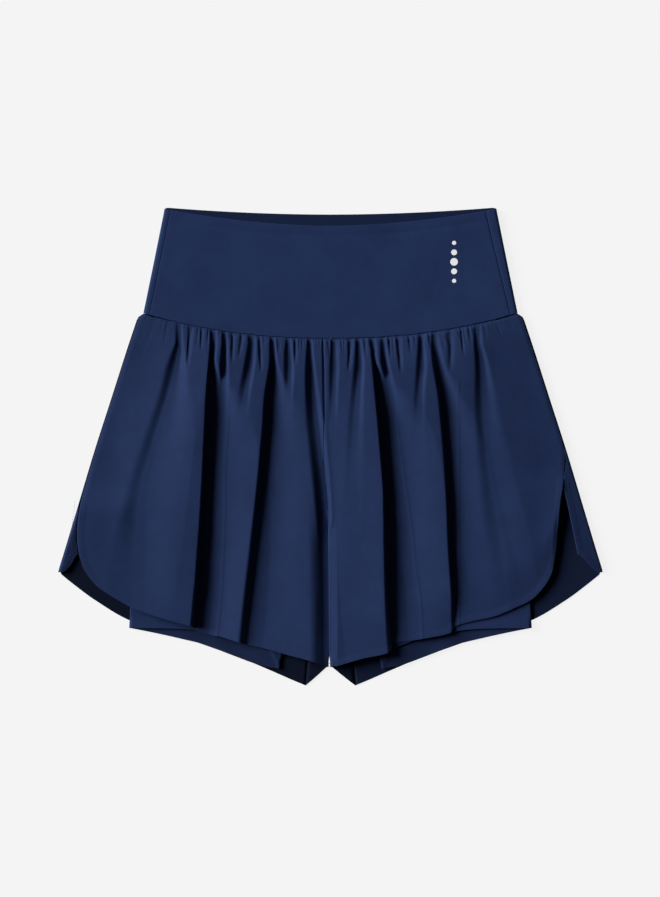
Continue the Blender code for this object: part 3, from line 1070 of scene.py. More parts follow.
def lay_cloth(
    name: str, points: Array, thickness: float, material: bpy.types.Material, rounding: float = 0.0
) -> bpy.types.Object:
    """One wall of cloth from rows of points along the middle of its thickness.

    Args:
        name: the piece's name.
        points: rows by columns by (x, y, z).
        thickness: of the wall.
        material: its finish.
        rounding: how far its cut edges are rounded off.

    Returns:
        The piece.
    """
    rows, columns, _ = points.shape
    shape = bmesh.new()
    bmesh.ops.create_grid(shape, x_segments=columns - 1, y_segments=rows - 1, size=1.0)
    piece = add_object(name, shape, material)
    mesh = piece.data
    mesh.vertices.foreach_set("co", (points.reshape(-1, 3) * MM).ravel())
    corners = np.empty(len(mesh.loops), dtype=np.int32)
    mesh.loops.foreach_get("vertex_index", corners)
    spots = np.stack([length.ravel()[corners] for length in cut_lengths(points)], axis=1)
    mesh.uv_layers.new(name="cut").data.foreach_set("uv", spots.ravel())
    mesh.shade_smooth()
    mesh.update()
    wall = piece.modifiers.new("wall", "SOLIDIFY")
    wall.thickness = thickness * MM
    wall.offset = 0.0
    wall.use_even_offset = True
    if rounding > 0.0:
        soft = piece.modifiers.new("edges", "BEVEL")
        soft.width = rounding * MM
        soft.segments = 3
        soft.limit_method = "ANGLE"
        soft.angle_limit = math.radians(60.0)
    return piece


def declare(piece: bpy.types.Object, slot: str, *nodes: str) -> None:
    """Fixes a piece to the garment.

    Args:
        piece: the piece.
        slot: its material slot; not used.
        nodes: the CAD nodes that it stands for.
    """
    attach(piece, "root")
    if nodes:
        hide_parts(*nodes)
    LOG.info("%s made, %d faces before its wall", piece.name, len(piece.data.polygons))


# ---- the waistband ----
BAND_SEAM_IN = {Side.RIGHT: (4.6, 4.6), Side.LEFT: (5.6, 9.2)}  # from the side, at foot and top
BAND_SEAM_GAP = {Side.RIGHT: SEAM_GAP / 3, Side.LEFT: SEAM_GAP}


@dataclass
class Waistband:
    """The wide double-knit waistband: a back that comes forward round both sides, and a front."""

    finish: ClothFinish = BAND
    rows: int = 56
    front_columns: int = 150
    back_columns: int = 110
    turn_columns: int = 14
    arch: float = 1.6
    foot_lift: float = 0.3
    edge_rounding: float = 0.45
    ripple: Ripple = Ripple(0.3, 46.0, 3, (0.55, 1.0))
    ripple_edge: float = 14.0
    groove_in: float = 9.0
    groove_depth: float = 0.3
    groove_half: float = 2.2

    def half(self, share: Array) -> Array:
        """Half width of the laid band to the middle of its wall, from foot to top."""
        return mix(BAND_FOOT_HALF, BAND_TOP_HALF, share) - BAND_THICK / 2

    def place(self, x: Array, z: Array, share: Array) -> Array:
        """Points of the band.

        Args:
            x: places along X.
            z: heights, from the back's to the front's.
            share: how far up the band, from 0 at its foot to 1 at its top.

        Returns:
            A point (x, y, z) for each.
        """
        forward = np.clip((z - BAND_BACK_Z) / (BAND_FRONT_Z - BAND_BACK_Z), 0.0, 1.0)
        top = mix(back_band_top(x), FRONT_BAND_TOP.at(x), forward)
        foot = mix(BACK_WAIST.at(x), front_waist_seam(x), forward)
        return np.stack((x, mix(foot, top, share), z), axis=2)

    def shares(self) -> Array:
        """How far up the band each row stands, as a column, with close rows at both edges."""
        even = np.linspace(1.0, 0.0, self.rows)[:, None]
        return mix(0.5 - 0.5 * np.cos(np.pi * even), even, 0.5)

    def lift(self, x: Array, share: Array) -> Array:
        """Height of the front above its flat place: its arch, padded foot, groove and waves.

        Args:
            x: places along X.
            share: how far up the band.

        Returns:
            The height at each place.
        """
        centre = 1.0 - np.clip(np.abs(x) / FRONT_BAND_TOP.half, 0.0, 1.0) ** 2
        foot = self.foot_lift * (1.0 - smoothstep(share * 6.0)) * smoothstep(centre * 4.0)
        from_top = (1.0 - share) * BAND_HEIGHT
        groove = self.groove_depth * ridge(from_top - self.groove_in, self.groove_half)
        soft = self.ripple.at(x, mix(front_waist_seam(x), FRONT_BAND_TOP.at(x), share))
        soft = soft * smoothstep(share * 5.0) * smoothstep(from_top / self.ripple_edge)
        return self.arch * share * centre + foot + (soft - groove) * smoothstep(centre * 3.0)

    def front(self) -> Array:
        """The front, between the side seams.

        Returns:
            Its points, rows by columns.
        """
        share = self.shares()
        ends = []
        for side in (Side.RIGHT, Side.LEFT):
            seam = self.half(share) - mix(*BAND_SEAM_IN[side], share)
            ends.append(side.value * (seam - BAND_SEAM_GAP[side]))
        x = mix(ends[0], ends[1], np.linspace(0.0, 1.0, self.front_columns)[None, :])
        share = np.broadcast_to(share, x.shape)
        points = self.place(x, np.full_like(x, BAND_FRONT_Z), share)
        points[:, :, 2] += self.lift(x, share)
        return points

    def back(self) -> Array:
        """The back, from one side seam round to the other.

        Returns:
            Its points, rows by columns.
        """
        share = self.shares()
        radius = (BAND_FRONT_Z - BAND_BACK_Z) / 2
        half = self.half(share)
        turn = np.linspace(0.0, 1.0, self.turn_columns)[None, :]
        strips = []
        for side in (Side.RIGHT, Side.LEFT):
            bent_x, bent_z = half_turn(side.value * half, radius, BAND_BACK_Z, BAND_FRONT_Z, turn)
            end = side.value * (half - mix(*BAND_SEAM_IN[side], share))
            flat_x = mix(bent_x[:, -1:], end, np.array([[0.5, 1.0]]))
            x = np.concatenate((bent_x, flat_x), axis=1)
            z = np.concatenate((bent_z, np.full_like(flat_x, BAND_FRONT_Z)), axis=1)
            strips.append((x, z))
        right, left = strips
        reach = half - radius
        middle = mix(-reach, reach, np.linspace(0.0, 1.0, self.back_columns)[None, 1:-1])
        x = np.concatenate((right[0][:, ::-1], middle, left[0]), axis=1)
        flat = np.full_like(middle, BAND_BACK_Z)
        z = np.concatenate((right[1][:, ::-1], flat, left[1]), axis=1)
        return self.place(x, z, np.broadcast_to(share, x.shape))

    def surface(self, x: float, share: float) -> Vector:
        """A place on the outside of the front.

        Args:
            x: its place along X.
            share: how far up the band.

        Returns:
            The place, in metres.
        """
        spot, height = np.array([[x]]), np.array([[share]])
        point = self.place(spot, np.full_like(spot, BAND_FRONT_Z), height)[0, 0]
        point[2] += self.lift(spot, height)[0, 0] + BAND_THICK / 2
        return Vector(point * MM)

    def build(self) -> None:
        """Makes both pieces."""
        material = self.finish.material()
        front = lay_cloth("band_front", self.front(), BAND_THICK, material, self.edge_rounding)
        declare(front, "band_knit", "waistband_front")
        back = lay_cloth("band_back", self.back(), BAND_THICK, material, self.edge_rounding)
        declare(back, "band_knit", "waistband_back")


# ---- the gathered outer fronts ----
RISE_START = 0.04  # share of the ridges' height at the waist seam
RISE_PARTS = ((0.16, 4.0), (0.22, 30.0), (0.58, 80.0))  # a share more, by so far below the seam
LEVEL_REACH = 90.0  # how far below the seam the folds' levels come in
HEM_SINK = 0.96  # share of the height that is left at the hem
HEM_SINK_LENGTH = 120.0


def gathered_height(
    side: Side, x: Array, y: Array, side_x: Array, side_floor: Array, side_reach: float
) -> Array:
    """Height of the gathered front above where it would lie flat.

    Args:
        side: which of the two fronts.
        x: places along X.
        y: places along Y.
        side_x: distance of the side edge from the middle, at each place.
        side_floor: share of the height that is left at the side edge.
        side_reach: how wide the fall to the side edge is.

    Returns:
        The height at each place.
    """
    under = np.maximum(front_waist_seam(x) - y, 0.0)
    rise = sum((part * smoothstep(under / reach) for part, reach in RISE_PARTS), RISE_START)
    near_side = smoothstep((side_x - np.abs(x)) / side_reach)
    hem = mix(1.0, HEM_SINK, below(CROTCH_Y, HEM_SINK_LENGTH, y))
    height = RIDGE_HEIGHT * rise * mix(side_floor, 1.0, near_side) * hem
    level = 1.0 + sum(fold.level(x, y) for fold in FOLDS if fold.side is side)
    height *= mix(1.0, level, smoothstep(under / LEVEL_REACH))
    for fold in FOLDS:
        height *= 1.0 - fold.take(x, y)
    for tuck in ALL_TUCKS:
        height *= 1.0 - tuck.take(x, under)
    return height


@dataclass
class OuterFront:
    """One gathered front, which turns under at the inside of its leg."""

    side: Side
    guides: tuple[str, ...]  # folds and creases that its columns follow
    bays: tuple[int, ...]  # how many columns stand between them
    hem: Track
    slit: tuple[tuple[float, float, float], ...]
    edge_slope: float
    side_reach: float
    finish: ClothFinish = SHELL
    rows: tuple[int, int] = (84, 74)
    row_ease: tuple[float, float] = (1.5, 1.6)
    side_floor: float = 0.6
    slit_zone: tuple[float, float] = (16.0, 26.0)  # from so far above the slit's top, over so much
    hem_rest: tuple[float, float] = (0.1, 0.1)  # how much the hem sinks, inside and at the side
    rest_from: float = 40.0
    rest_width: float = 90.0
    rest_height: float = 45.0
    ripple: Ripple = Ripple(0.25, 44.0, 21, (1.0, 0.4))
    ripple_start: float = 30.0
    seam_drop: float = 0.7
    seam_drop_width: float = 4.0
    lean: tuple[float, float] = (0.15, 0.22)  # how far ridges lean to +X, at the waist and hem
    lean_zone: tuple[float, float] = (-60.0, 110.0)
    waist_sink: float = 0.35
    waist_sink_length: float = 3.0
    leg_lap: float = -0.3
    leg_lap_lead: float = 6.0
    leg_gap: float = -0.7
    hem_gap: float = 1.6
    hem_gap_zone: tuple[float, float] = (-187.0, 12.0)
    crotch_lead: float = 0.0
    crotch_fade: float = 14.0
    wrap_zone: float = 6.0
    wrap_round: float = 1.8
    wrap_fullness: float = 0.4
    bend_columns: int = 13
    under_columns: int = 5
    flat_share: float = 0.95
    flat_bend: float = 0.6
    turn_length: float = 20.0
    under_z: float = 1.0
    under_lap: float = 0.5

    def __post_init__(self) -> None:
        """Works out the tracks of the piece's edges and guides."""
        self.sign = self.side.value
        self.wrap_columns = self.bend_columns + self.under_columns
        self.side_track = curve_of(self.slit)
        lines = {guide.name: guide.line for guide in (*FOLDS, *CREASES)}
        self.guide_lines = [lines[name] for name in self.guides]

    def seam_x(self, y: Array) -> Array:
        """The front seam, or below the crotch the inside of the leg."""
        gap = mix(SEAM_GAP, self.leg_lap, below(CROTCH_Y + self.leg_lap_lead, self.leg_lap_lead, y))
        return FRONT_SEAM.at(y) + self.sign * gap / 2

    def marks(self, y: Array) -> list[Array]:
        """The lines that the columns follow.

        Args:
            y: heights.

        Returns:
            Each line's place along X at those heights, from -X to +X.
        """
        lines = [line.at(y) for line in self.guide_lines]
        zone = self.seam_x(y) + self.sign * self.wrap_zone
        edge = self.sign * self.side_track.at(y)
        return [edge, *lines, zone] if self.side is Side.RIGHT else [zone, *lines, edge]

    def main_x(self, heights: Array) -> Array:
        """Where the columns stand.

        Args:
            heights: the heights of the rows, by columns.

        Returns:
            Their places along X.
        """
        pieces = []
        first = 0
        for bay, count in enumerate(self.bays):
            last_bay = bay == len(self.bays) - 1
            shares = np.linspace(0.0, 1.0, count + 1)[: count + 1 if last_bay else count]
            marks = self.marks(heights[:, first : first + len(shares)])
            pieces.append(mix(marks[bay], marks[bay + 1], shares[None, :]))
            first += len(shares)
        return np.concatenate(pieces, axis=1)

    def relief(self, x: Array, y: Array) -> Array:
        """Height of the gathers, with the creases and the soft unevenness of the cloth.

        Args:
            x: places along X.
            y: places along Y.

        Returns:
            The height at each place.
        """
        lead, length = self.slit_zone
        open_side = below(SLIT_TOP_Y[self.side] + lead, length, y)
        side_x = self.side_track.at(y)
        floor = self.side_floor * open_side
        height = gathered_height(self.side, x, y, side_x, floor, self.side_reach)
        if self.edge_slope > 0.0:
            fade = self.crotch_fade + 2.0 * self.crotch_lead
            from_edge = smoothstep(np.abs(x - self.seam_x(y)) / self.edge_slope)
            height = height * mix(1.0, from_edge, below(CROTCH_Y + self.crotch_lead, fade, y))
        rest = mix(*self.hem_rest, smoothstep((np.abs(x) - self.rest_from) / self.rest_width))
        above_hem = (y - self.hem.at(np.abs(x))) / self.rest_height
        height = height * (1.0 - rest * smoothstep(1.0 - above_hem))
        for crease in CREASES:
            height = height + crease.lift(x, y)
        calm = smoothstep((front_waist_seam(x) - y) / self.ripple_start)
        height = height + calm * self.ripple.at(x, y)
        near_seam = 1.0 - smoothstep((side_x - np.abs(x)) / self.seam_drop_width)
        return height - self.seam_drop * near_seam * (1.0 - open_side)

    def place(self, x: Array, y: Array) -> Array:
        """Lays the gathered cloth over places.

        Args:
            x: places along X.
            y: places along Y.

        Returns:
            Points (x, y, z) along the middle of the wall.
        """
        relief = self.relief(x, y)
        lean = mix(*self.lean, below(*self.lean_zone, y)) * np.maximum(relief, 0.0)
        at_seam = 1.0 - smoothstep((front_waist_seam(x) - y) / self.waist_sink_length)
        return np.stack((x + lean, y, OUTER_FRONT_Z + relief - self.waist_sink * at_seam), axis=-1)

    def free_edge(self) -> Array:
        """The hem and the open side, from the inside of the leg to the slit's top.

        Returns:
            The edge's points, one (x, y) a row.
        """
        x = np.linspace(self.hem.keys[0], self.hem.keys[-1], 150)
        hem = np.stack((self.sign * x, self.hem.at(x)), axis=1)
        y = np.linspace(hem[-1, 1], SLIT_TOP_Y[self.side], 40)[1:]
        side = np.stack((self.sign * self.side_track.at(y), y), axis=1)
        return np.concatenate((hem, side), axis=0)

    def flat_zone(self, y: Array, index: Array) -> tuple[Array, Array]:
        """The zone beside the front seam, where it lies flat.

        Args:
            y: heights.
            index: which column of the zone each belongs to, from 1.

        Returns:
            The places along X and their heights above the table.
        """
        bent = np.minimum(index / (self.bend_columns * self.flat_bend), 1.0)
        share = self.flat_share * bent + (1.0 - self.flat_share) * index / self.wrap_columns
        x = self.seam_x(y) + self.sign * self.wrap_zone * (1.0 - share)
        points = self.place(x, y)
        return points[..., 0], points[..., 2]

    def turned_zone(self, y: Array, index: Array) -> tuple[Array, Array]:
        """The same zone below the crotch, where it turns under to the inseam.

        Args:
            y: heights.
            index: which column of the zone each belongs to, from 1.

        Returns:
            The places along X and their heights above the table.
        """
        gap = mix(self.leg_gap, self.hem_gap, below(*self.hem_gap_zone, y))
        fold = self.seam_x(y) + self.sign * (gap + SHELL_THICK) / 2
        start = fold + self.sign * self.wrap_round
        top = self.place(start, y)
        share = 1.0 - np.clip((index - 1) / (self.bend_columns - 1), 0.0, 1.0)
        unit = np.full_like(y, -float(self.sign))
        bent_x, bent_z = half_turn(unit, self.wrap_round, self.under_z, top[..., 2], share)
        upper_shift = (top[..., 0] - start) * smoothstep(2.0 * share - 1.0)
        bent_x = fold + self.sign + bent_x + upper_shift
        full = top[..., 2] - self.under_z
        risen = np.clip((bent_z - self.under_z) / full, 0.0, 1.0)
        bent_z = self.under_z + full * risen**self.wrap_fullness
        under = np.clip((index - self.bend_columns) / self.under_columns, 0.0, 1.0)
        under_x = mix(start, self.sign * (inseam(y) + self.under_lap), under)
        is_under = index > self.bend_columns
        return np.where(is_under, under_x, bent_x), np.where(is_under, self.under_z, bent_z)

    def wraps(self) -> Array:
        """The columns that turn under, from the zone's start to its free edge.

        Returns:
            Their points, rows by columns.
        """
        index = np.arange(1, self.wrap_columns + 1)[None, :].astype(float)
        under = np.clip((index - self.bend_columns) / self.under_columns, 0.0, 1.0)
        bend = np.clip(index / self.bend_columns, 0.0, 1.0)
        leg_hem = mix(self.hem.at(self.wrap_zone), self.hem.values[0], bend)
        top = np.full_like(index, front_waist_seam(0.0) - SEAM_GAP)
        y = row_heights(top, mix(leg_hem, INSEAM_HEM_Y, under), self.rows, self.row_ease)
        index = np.broadcast_to(index, y.shape)
        flat_x, flat_z = self.flat_zone(y, index)
        bent_x, bent_z = self.turned_zone(y, index)
        turned = below(CROTCH_Y, self.turn_length, y)
        return np.stack((mix(flat_x, bent_x, turned), y, mix(flat_z, bent_z, turned)), axis=2)

    def points(self) -> Array:
        """The whole piece.

        Returns:
            Its points, rows from the waist down and columns from -X to +X.
        """
        count = sum(self.bays) + 1
        x_top = self.main_x(np.full((1, count), PANEL_TOP_Y))
        top = np.minimum(front_waist_seam(x_top) - SEAM_GAP, PANEL_TOP_Y)
        foot = hem_heights(self.hem, lambda y: np.abs(self.main_x(y)), count)
        y = row_heights(top, foot, self.rows, self.row_ease)
        x = self.main_x(y)
        main = self.place(x, y)
        main[..., 2] += hem_lift(edge_distance(x, y, self.free_edge()))
        wraps = self.wraps()
        ordered = (main, wraps) if self.side is Side.RIGHT else (wraps[:, ::-1], main)
        return np.concatenate(ordered, axis=1)

    def stitch_line(self) -> Array:
        """The hem's stitches.

        Returns:
            Points along their line, on top of the cloth.
        """
        edge = even_path(self.free_edge(), STITCH_SPACING)
        line = offset_path(edge, self.sign * STITCH_IN)
        points = self.place(line[:, 0], line[:, 1])
        points[:, 2] += SHELL_THICK / 2 + 0.02
        return points

    def build(self) -> None:
        """Makes the piece."""
        side = self.side.name.lower()
        piece = lay_cloth(f"front_{side}", self.points(), SHELL_THICK, self.finish.material())
        declare(piece, "shell_cloth", f"outer_front_{side}")


# ---- the outer backs ----
OPEN_ZONE = {Side.RIGHT: (-44.0, 22.0), Side.LEFT: (14.0, 24.0)}  # where the side opens to its slit


@dataclass
class OuterBack:
    """One outer back, which comes forward round the side to the slit."""

    side: Side
    slit: tuple[tuple[float, float, float], ...]
    finish: ClothFinish = SHELL
    flat_columns: int = 72
    turn_columns: int = 26
    rows: tuple[int, int] = (60, 56)
    seam_share: float = 0.5
    top_gap: float = 0.05
    ripple: Ripple = Ripple(1.0, 40.0, 8, (1.0, 0.3))
    ripple_height: float = 0.5
    ripple_start: float = 20.0
    forward_tilt: float = 0.2
    hem_level: float = 0.3
    hem_bend: float = 1.2

    def __post_init__(self) -> None:
        """Works out the track of the forward edge, and how much light the inside takes."""
        self.sign = self.side.value
        if self.side is Side.LEFT:
            self.finish = replace(self.finish, reverse_and_shade=LIT_REVERSE)
        self.radius = (OUTER_FRONT_Z - OUTER_BACK_Z) / 2
        self.wrap_track = curve_of(self.slit, value=2)

    def edge_x(self, y: Array) -> Array:
        """The outermost place of the middle of the wall."""
        return OUTLINE.at(y) - SHELL_THICK / 2

    def flat_x(self, share: Array, y: Array) -> Array:
        """Distance from the middle of the columns that lie on the table."""
        inner = np.where(y < CROTCH_Y, inseam(y) + SEAM_GAP, SEAM_GAP / 2)
        return mix(inner, self.edge_x(y) - self.radius, share)

    def lift(self, x: Array, y: Array) -> Array:
        """Soft waves where the hidden back stands a little off the table."""
        clear = smoothstep((BACK_WAIST.at(x) - y) / self.ripple_start)
        return self.ripple_height * clear * (0.5 + 0.5 * np.tanh(self.ripple.at(x, y)))

    def beyond(self, x: Array, y: Array) -> Array:
        """How far in from the round of the side a place on the cloth that came forward is."""
        return np.maximum(self.edge_x(y) - self.radius - x, 0.0)

    def forward(self, y: Array, share: Array) -> tuple[Array, Array]:
        """Places on the cloth that comes forward round the side.

        Args:
            y: heights.
            share: how far along it, from the flat part to the forward edge.

        Returns:
            The places along X and their heights above the table.
        """
        arc = np.pi * self.radius
        opened = below(*OPEN_ZONE[self.side], y)
        length = mix(self.seam_share * arc, arc + self.beyond(self.wrap_track.at(y), y), opened)
        along = share * length
        turn = np.clip(along / arc, 0.0, 1.0)
        x, z = half_turn(self.edge_x(y), self.radius, OUTER_BACK_Z, OUTER_FRONT_Z, turn)
        past = np.maximum(along - arc, 0.0)
        return x - past, z + self.sign * self.forward_tilt * past

    def forward_hem(self, share: Array) -> Array:
        """Height of the hem along the cloth that comes forward."""
        climb = smoothstep((share - self.hem_level) / (1.0 - self.hem_level)) ** self.hem_bend
        return mix(OUTLINE.keys[0], SIDE_HEM_Y, climb)

    def free_edge(self) -> Array:
        """The forward edge and its hem.

        Returns:
            The edge's points, one (x, y) a row.
        """
        y = np.linspace(SLIT_TOP_Y[self.side], SIDE_HEM_Y, 40)
        edge = np.stack((self.forward(y, np.ones_like(y))[0], y), axis=1)
        share = np.linspace(1.0, 0.35, 20)[1:]
        y = self.forward_hem(share)
        hem = np.stack((self.forward(y, share)[0], y), axis=1)
        return np.concatenate((edge, hem), axis=0)

    def points(self) -> Array:
        """The whole piece.

        Returns:
            Its points, rows from the waist down and columns across the garment.
        """
        share = np.linspace(0.0, 1.0, self.flat_columns)[None, :]
        top = np.minimum(BACK_WAIST.at(share * PANEL_HALF) - self.top_gap, PANEL_TOP_Y)
        foot = hem_heights(BACK_HEM, lambda y: self.flat_x(share, y), self.flat_columns)
        y = row_heights(top, foot, self.rows)
        x = self.flat_x(share, y)
        raised = self.lift(x, y) * (1.0 - smoothstep((share - 0.9) / 0.1))
        flat = np.stack((x, y, OUTER_BACK_Z + raised), axis=2)
        share = np.linspace(0.0, 1.0, self.turn_columns + 1)[None, 1:]
        y = row_heights(np.full_like(share, PANEL_TOP_Y), self.forward_hem(share), self.rows)
        x, z = self.forward(y, np.broadcast_to(share, y.shape))
        z = z + hem_lift(edge_distance(x, y, self.free_edge())) * smoothstep(z - 4.0)
        points = np.concatenate((flat, np.stack((x, y, z), axis=2)), axis=1)
        points[..., 0] *= self.sign
        return points if self.side is Side.LEFT else points[:, ::-1]

    def stitch_line(self) -> Array:
        """The stitches of the forward edge and its hem.

        Returns:
            Points along their line, on top of the cloth.
        """
        x, y = offset_path(even_path(self.free_edge(), STITCH_SPACING), STITCH_IN).T
        tilt = self.sign * self.forward_tilt * self.beyond(x, y)
        return np.stack((self.sign * x, y, OUTER_FRONT_Z + SHELL_THICK / 2 + 0.15 + tilt), axis=1)

    def build(self) -> None:
        """Makes the piece."""
        side = self.side.name.lower()
        piece = lay_cloth(f"back_{side}", self.points(), SHELL_THICK, self.finish.material())
        declare(piece, "shell_cloth", f"outer_back_{side}")


# ---- the fitted inner shorts ----
@dataclass
class InnerLeg:
    """One leg of the inner shorts: a front and a back layer in one piece, folded at the side."""

    side: Side
    finish: ClothFinish = LINER
    flat_columns: int = 60
    turn_columns: int = 10
    rows: tuple[int, int] = (40, 60)
    top_y: float = PANEL_TOP_Y - 4.0
    waist_gap: float = 2.0
    ripple: Ripple = Ripple(0.22, 38.0, 31)
    ripple_edge: float = 8.0
    crotch_fade: float = 12.0
    closed_width: float = 2.0
    closed_gap: float = 0.05
    hem_band: float = 9.0
    hem_step: float = 0.18
    hem_rise: float = 0.6
    flap_height: float = 0.9
    flap_half: float = 1.3
    flap_zone: tuple[float, float] = (-178.0, 10.0)

    def __post_init__(self) -> None:
        """Works out the roundness of the side fold."""
        self.sign = self.side.value
        self.radius = (INNER_FRONT_Z - INNER_BACK_Z) / 2

    def layer(self, z: float, waist: Callable[[Array], Array], hem: Track) -> Array:
        """One layer, from the inside of the leg to its outer side.

        Args:
            z: height of the middle of its wall.
            waist: gives the height of the waist seam over it.
            hem: its hem.

        Returns:
            Its points, rows by columns.
        """

        def columns(y: Array) -> Array:
            """Where the columns stand at given heights."""
            return mix(inner_edge(y), inner_side(y) - self.radius, share)

        share = np.linspace(0.0, 1.0, self.flat_columns)[None, :]
        top = np.minimum(waist(share * PANEL_HALF) - self.waist_gap, self.top_y)
        foot = hem_heights(hem, columns, self.flat_columns)
        y = row_heights(top, foot, self.rows)
        x = columns(y)
        from_inside = (x - inner_edge(y)) / self.closed_width
        closed = below(INNER_CROTCH_Y, self.crotch_fade, y) * (1.0 - smoothstep(from_inside))
        middle = (INNER_FRONT_Z + INNER_BACK_Z) / 2
        height = mix(z, middle + math.copysign(LINER_THICK / 2 + self.closed_gap, z - middle), closed)
        if z > middle:
            from_hem = y - foot
            step = self.hem_step * (1.0 - smoothstep(from_hem - self.hem_band))
            height += step + self.hem_rise * (1.0 - smoothstep(from_hem / self.hem_band))
        else:
            flap = ridge(x - INSEAM_FLAP.at(y), self.flap_half)
            height += self.flap_height * flap * below(*self.flap_zone, y)
        inward = smoothstep(share * self.ripple_edge) * smoothstep((1.0 - share) * self.ripple_edge)
        return np.stack((x, y, height + self.ripple.at(x, y) * inward), axis=2)

    def points(self) -> Array:
        """The whole leg, from the inside of its front round to the inside of its back.

        Returns:
            Its points, rows by columns.
        """
        front = self.layer(INNER_FRONT_Z, front_waist_seam, INNER_FRONT_HEM)
        back = self.layer(INNER_BACK_Z, BACK_WAIST.at, INNER_BACK_HEM)
        share = np.linspace(1.0, 0.0, self.turn_columns + 2)[None, 1:-1]
        foot = np.full_like(share, INNER_FRONT_HEM.values[-1])
        y = row_heights(np.full_like(share, self.top_y), foot, self.rows)
        x, z = half_turn(inner_side(y), self.radius, INNER_BACK_Z, INNER_FRONT_Z, share)
        points = np.concatenate((front, np.stack((x, y, z), axis=2), back[:, ::-1]), axis=1)
        points[..., 0] *= self.sign
        return points

    def build(self) -> None:
        """Makes the piece."""
        side = self.side.name.lower()
        piece = lay_cloth(f"liner_{side}", self.points(), LINER_THICK, self.finish.material())
        declare(piece, "liner_knit", f"inner_leg_{side}")


# ---- sewing and print ----
@dataclass
class Topstitching:
    """Lines of single stitches, joined in one mesh."""

    finish: PlainFinish = THREAD
    stitch: float = 1.9
    pitch: float = 2.6
    half_width: float = 0.16

    def sew(self, shape: bmesh.types.BMesh, line: Array) -> None:
        """Adds the stitches of one line.

        Args:
            shape: the mesh that they join.
            line: points along the top of the cloth.
        """
        size = (self.stitch / 2 * MM, self.half_width * MM, self.half_width * MM, 1.0)
        spots = even_path(line, self.pitch)
        for spot, head in zip(spots, np.gradient(spots, axis=0)):
            turn = Vector(head).normalized().to_track_quat("X", "Z").to_matrix().to_4x4()
            place = Matrix.Translation(Vector(spot) * MM) @ turn @ Matrix.Diagonal(size)
            bmesh.ops.create_uvsphere(shape, u_segments=6, v_segments=4, radius=1.0, matrix=place)

    def build(self, lines: Sequence[Array]) -> None:
        """Makes all the lines.

        Args:
            lines: the points of each line.
        """
        shape = bmesh.new()
        for line in lines:
            self.sew(shape, line)
        piece = add_object("hem_stitches", shape, self.finish.material())
        piece.data.shade_smooth()
        declare(piece, "thread")


@dataclass
class WhiteDots:
    """A plain column of printed dots on the front of the band."""

    band: Waistband
    finish: PlainFinish = DOT_PRINT
    x: float = 113.5
    middle_y: float = 169.5
    spacing: float = 8.7
    radii: tuple[float, ...] = (1.9, 2.7, 3.5, 2.7, 1.9)
    thickness: float = 0.3
    rounding: float = 0.08

    def print_dot(self, shape: bmesh.types.BMesh, y: float, radius: float) -> None:
        """Adds one dot.

        Args:
            shape: the mesh that it joins.
            y: its place along Y.
            radius: its radius.
        """
        foot = float(front_waist_seam(self.x))
        share = (y - foot) / (float(FRONT_BAND_TOP.at(self.x)) - foot)
        disc = bmesh.ops.create_cone(
            shape,
            cap_ends=True,
            segments=40,
            radius1=radius * MM,
            radius2=radius * MM,
            depth=self.thickness * MM,
            matrix=Matrix.Translation(self.band.surface(self.x, share)),
        )
        edges = {edge for vert in disc["verts"] for edge in vert.link_edges}
        rims = [edge for edge in edges if len({face.normal.z > 0.5 for face in edge.link_faces}) > 1]
        bmesh.ops.bevel(
            shape,
            geom=rims,
            offset=self.rounding * MM,
            segments=2,
            profile=0.5,
            affect="EDGES",
            material=-1,
        )

    def build(self) -> None:
        """Makes the dots."""
        shape = bmesh.new()
        for index, radius in enumerate(self.radii):
            y = self.middle_y + (index - (len(self.radii) - 1) / 2) * self.spacing
            self.print_dot(shape, y, radius)
        piece = add_object("white_dots", shape, self.finish.material())
        piece.data.shade_flat()
        declare(piece, "mark_print")


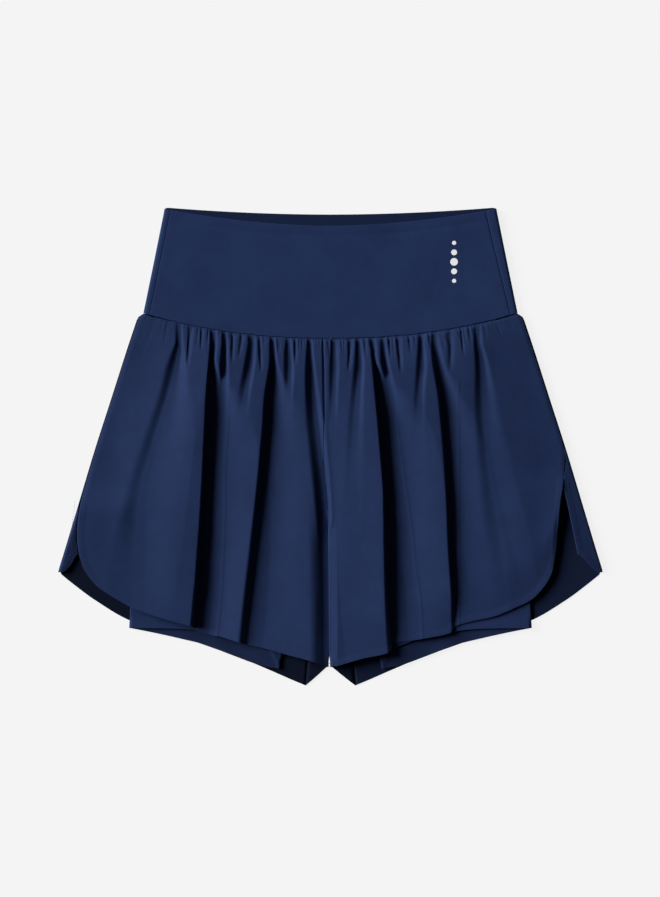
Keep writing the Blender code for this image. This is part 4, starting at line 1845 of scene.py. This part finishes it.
# ---- table, light and camera ----
@dataclass
class Studio:
    """A pale table, one large soft light from the upper left, and a camera straight above."""

    floor_size: float = 12.0
    floor_gap: float = 0.2
    light_from: tuple[float, float, float] = (-0.88, 0.33, 0.52)
    light_spread: float = 36.0
    light_strength: float = 5.5
    fill: float = 0.045
    camera_place: tuple[float, float, float] = (-0.00046, -0.00184, 3.0)
    frame_height: float = 0.8252
    sensor: float = 36.0
    view_limit: float = 50.0

    def lay_floor(self) -> None:
        """The table top, just under the garment."""
        shape = bmesh.new()
        bmesh.ops.create_grid(shape, x_segments=8, y_segments=8, size=self.floor_size / 2)
        bmesh.ops.translate(shape, verts=shape.verts[:], vec=(0.0, 0.0, -self.floor_gap * MM))
        add_object("table_top", shape, FLOOR.material())

    def light(self) -> None:
        """The key light and a dim surround."""
        data = bpy.data.lights.new("key", "SUN")
        data.energy = self.light_strength
        data.angle = math.radians(self.light_spread)
        key = bpy.data.objects.new("key", data)
        key.rotation_euler = Vector(self.light_from).to_track_quat("Z", "Y").to_euler()
        bpy.context.scene.collection.objects.link(key)
        world = bpy.data.worlds.new("surround")
        world.use_nodes = True
        background = world.node_tree.nodes["Background"]
        background.inputs["Color"].default_value = WHITE
        background.inputs["Strength"].default_value = self.fill
        bpy.context.scene.world = world
        bpy.context.scene.view_settings.view_transform = "Standard"

    def aim_camera(self) -> None:
        """The camera, looking straight down with the photograph's framing."""
        data = bpy.data.cameras.new("camera")
        data.sensor_width = self.sensor
        data.lens = self.sensor * self.camera_place[2] / self.frame_height
        data.clip_end = self.view_limit
        camera = bpy.data.objects.new("camera", data)
        camera.location = self.camera_place
        bpy.context.scene.collection.objects.link(camera)
        bpy.context.scene.camera = camera

    def build(self) -> None:
        """Sets up everything that isn't the garment."""
        self.aim_camera()
        self.lay_floor()
        self.light()


def main() -> None:
    """Builds the surroundings, then the garment's pieces in order."""
    logging.basicConfig(level=logging.INFO, format="%(name)s: %(message)s")
    Studio().build()
    band = Waistband()
    band.build()
    right_front = OuterFront(
        Side.RIGHT,
        guides=("a", "b", "b_edge", "c"),
        bays=(44, 62, 20, 42, 60),
        hem=RIGHT_HEM,
        slit=RIGHT_SLIT,
        edge_slope=20.0,
        side_reach=90.0,
        crotch_lead=25.0,
    )
    left_front = OuterFront(
        Side.LEFT,
        guides=("e", "e_edge", "f", "f_edge", "g"),
        bays=(56, 22, 42, 14, 32, 56),
        hem=LEFT_HEM,
        slit=LEFT_SLIT,
        edge_slope=0.0,
        side_reach=80.0,
        hem_rest=(0.25, 0.75),
    )
    fronts = (right_front, left_front)
    backs = (OuterBack(Side.RIGHT, RIGHT_SLIT), OuterBack(Side.LEFT, LEFT_SLIT))
    for front, back in zip(fronts, backs):
        front.build()
        back.build()
        InnerLeg(front.side).build()
    Topstitching().build([piece.stitch_line() for piece in (*fronts, *backs)])
    WhiteDots(band).build()
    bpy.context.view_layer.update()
    LOG.info("sizes written")


if __name__ == "__main__":
    main()
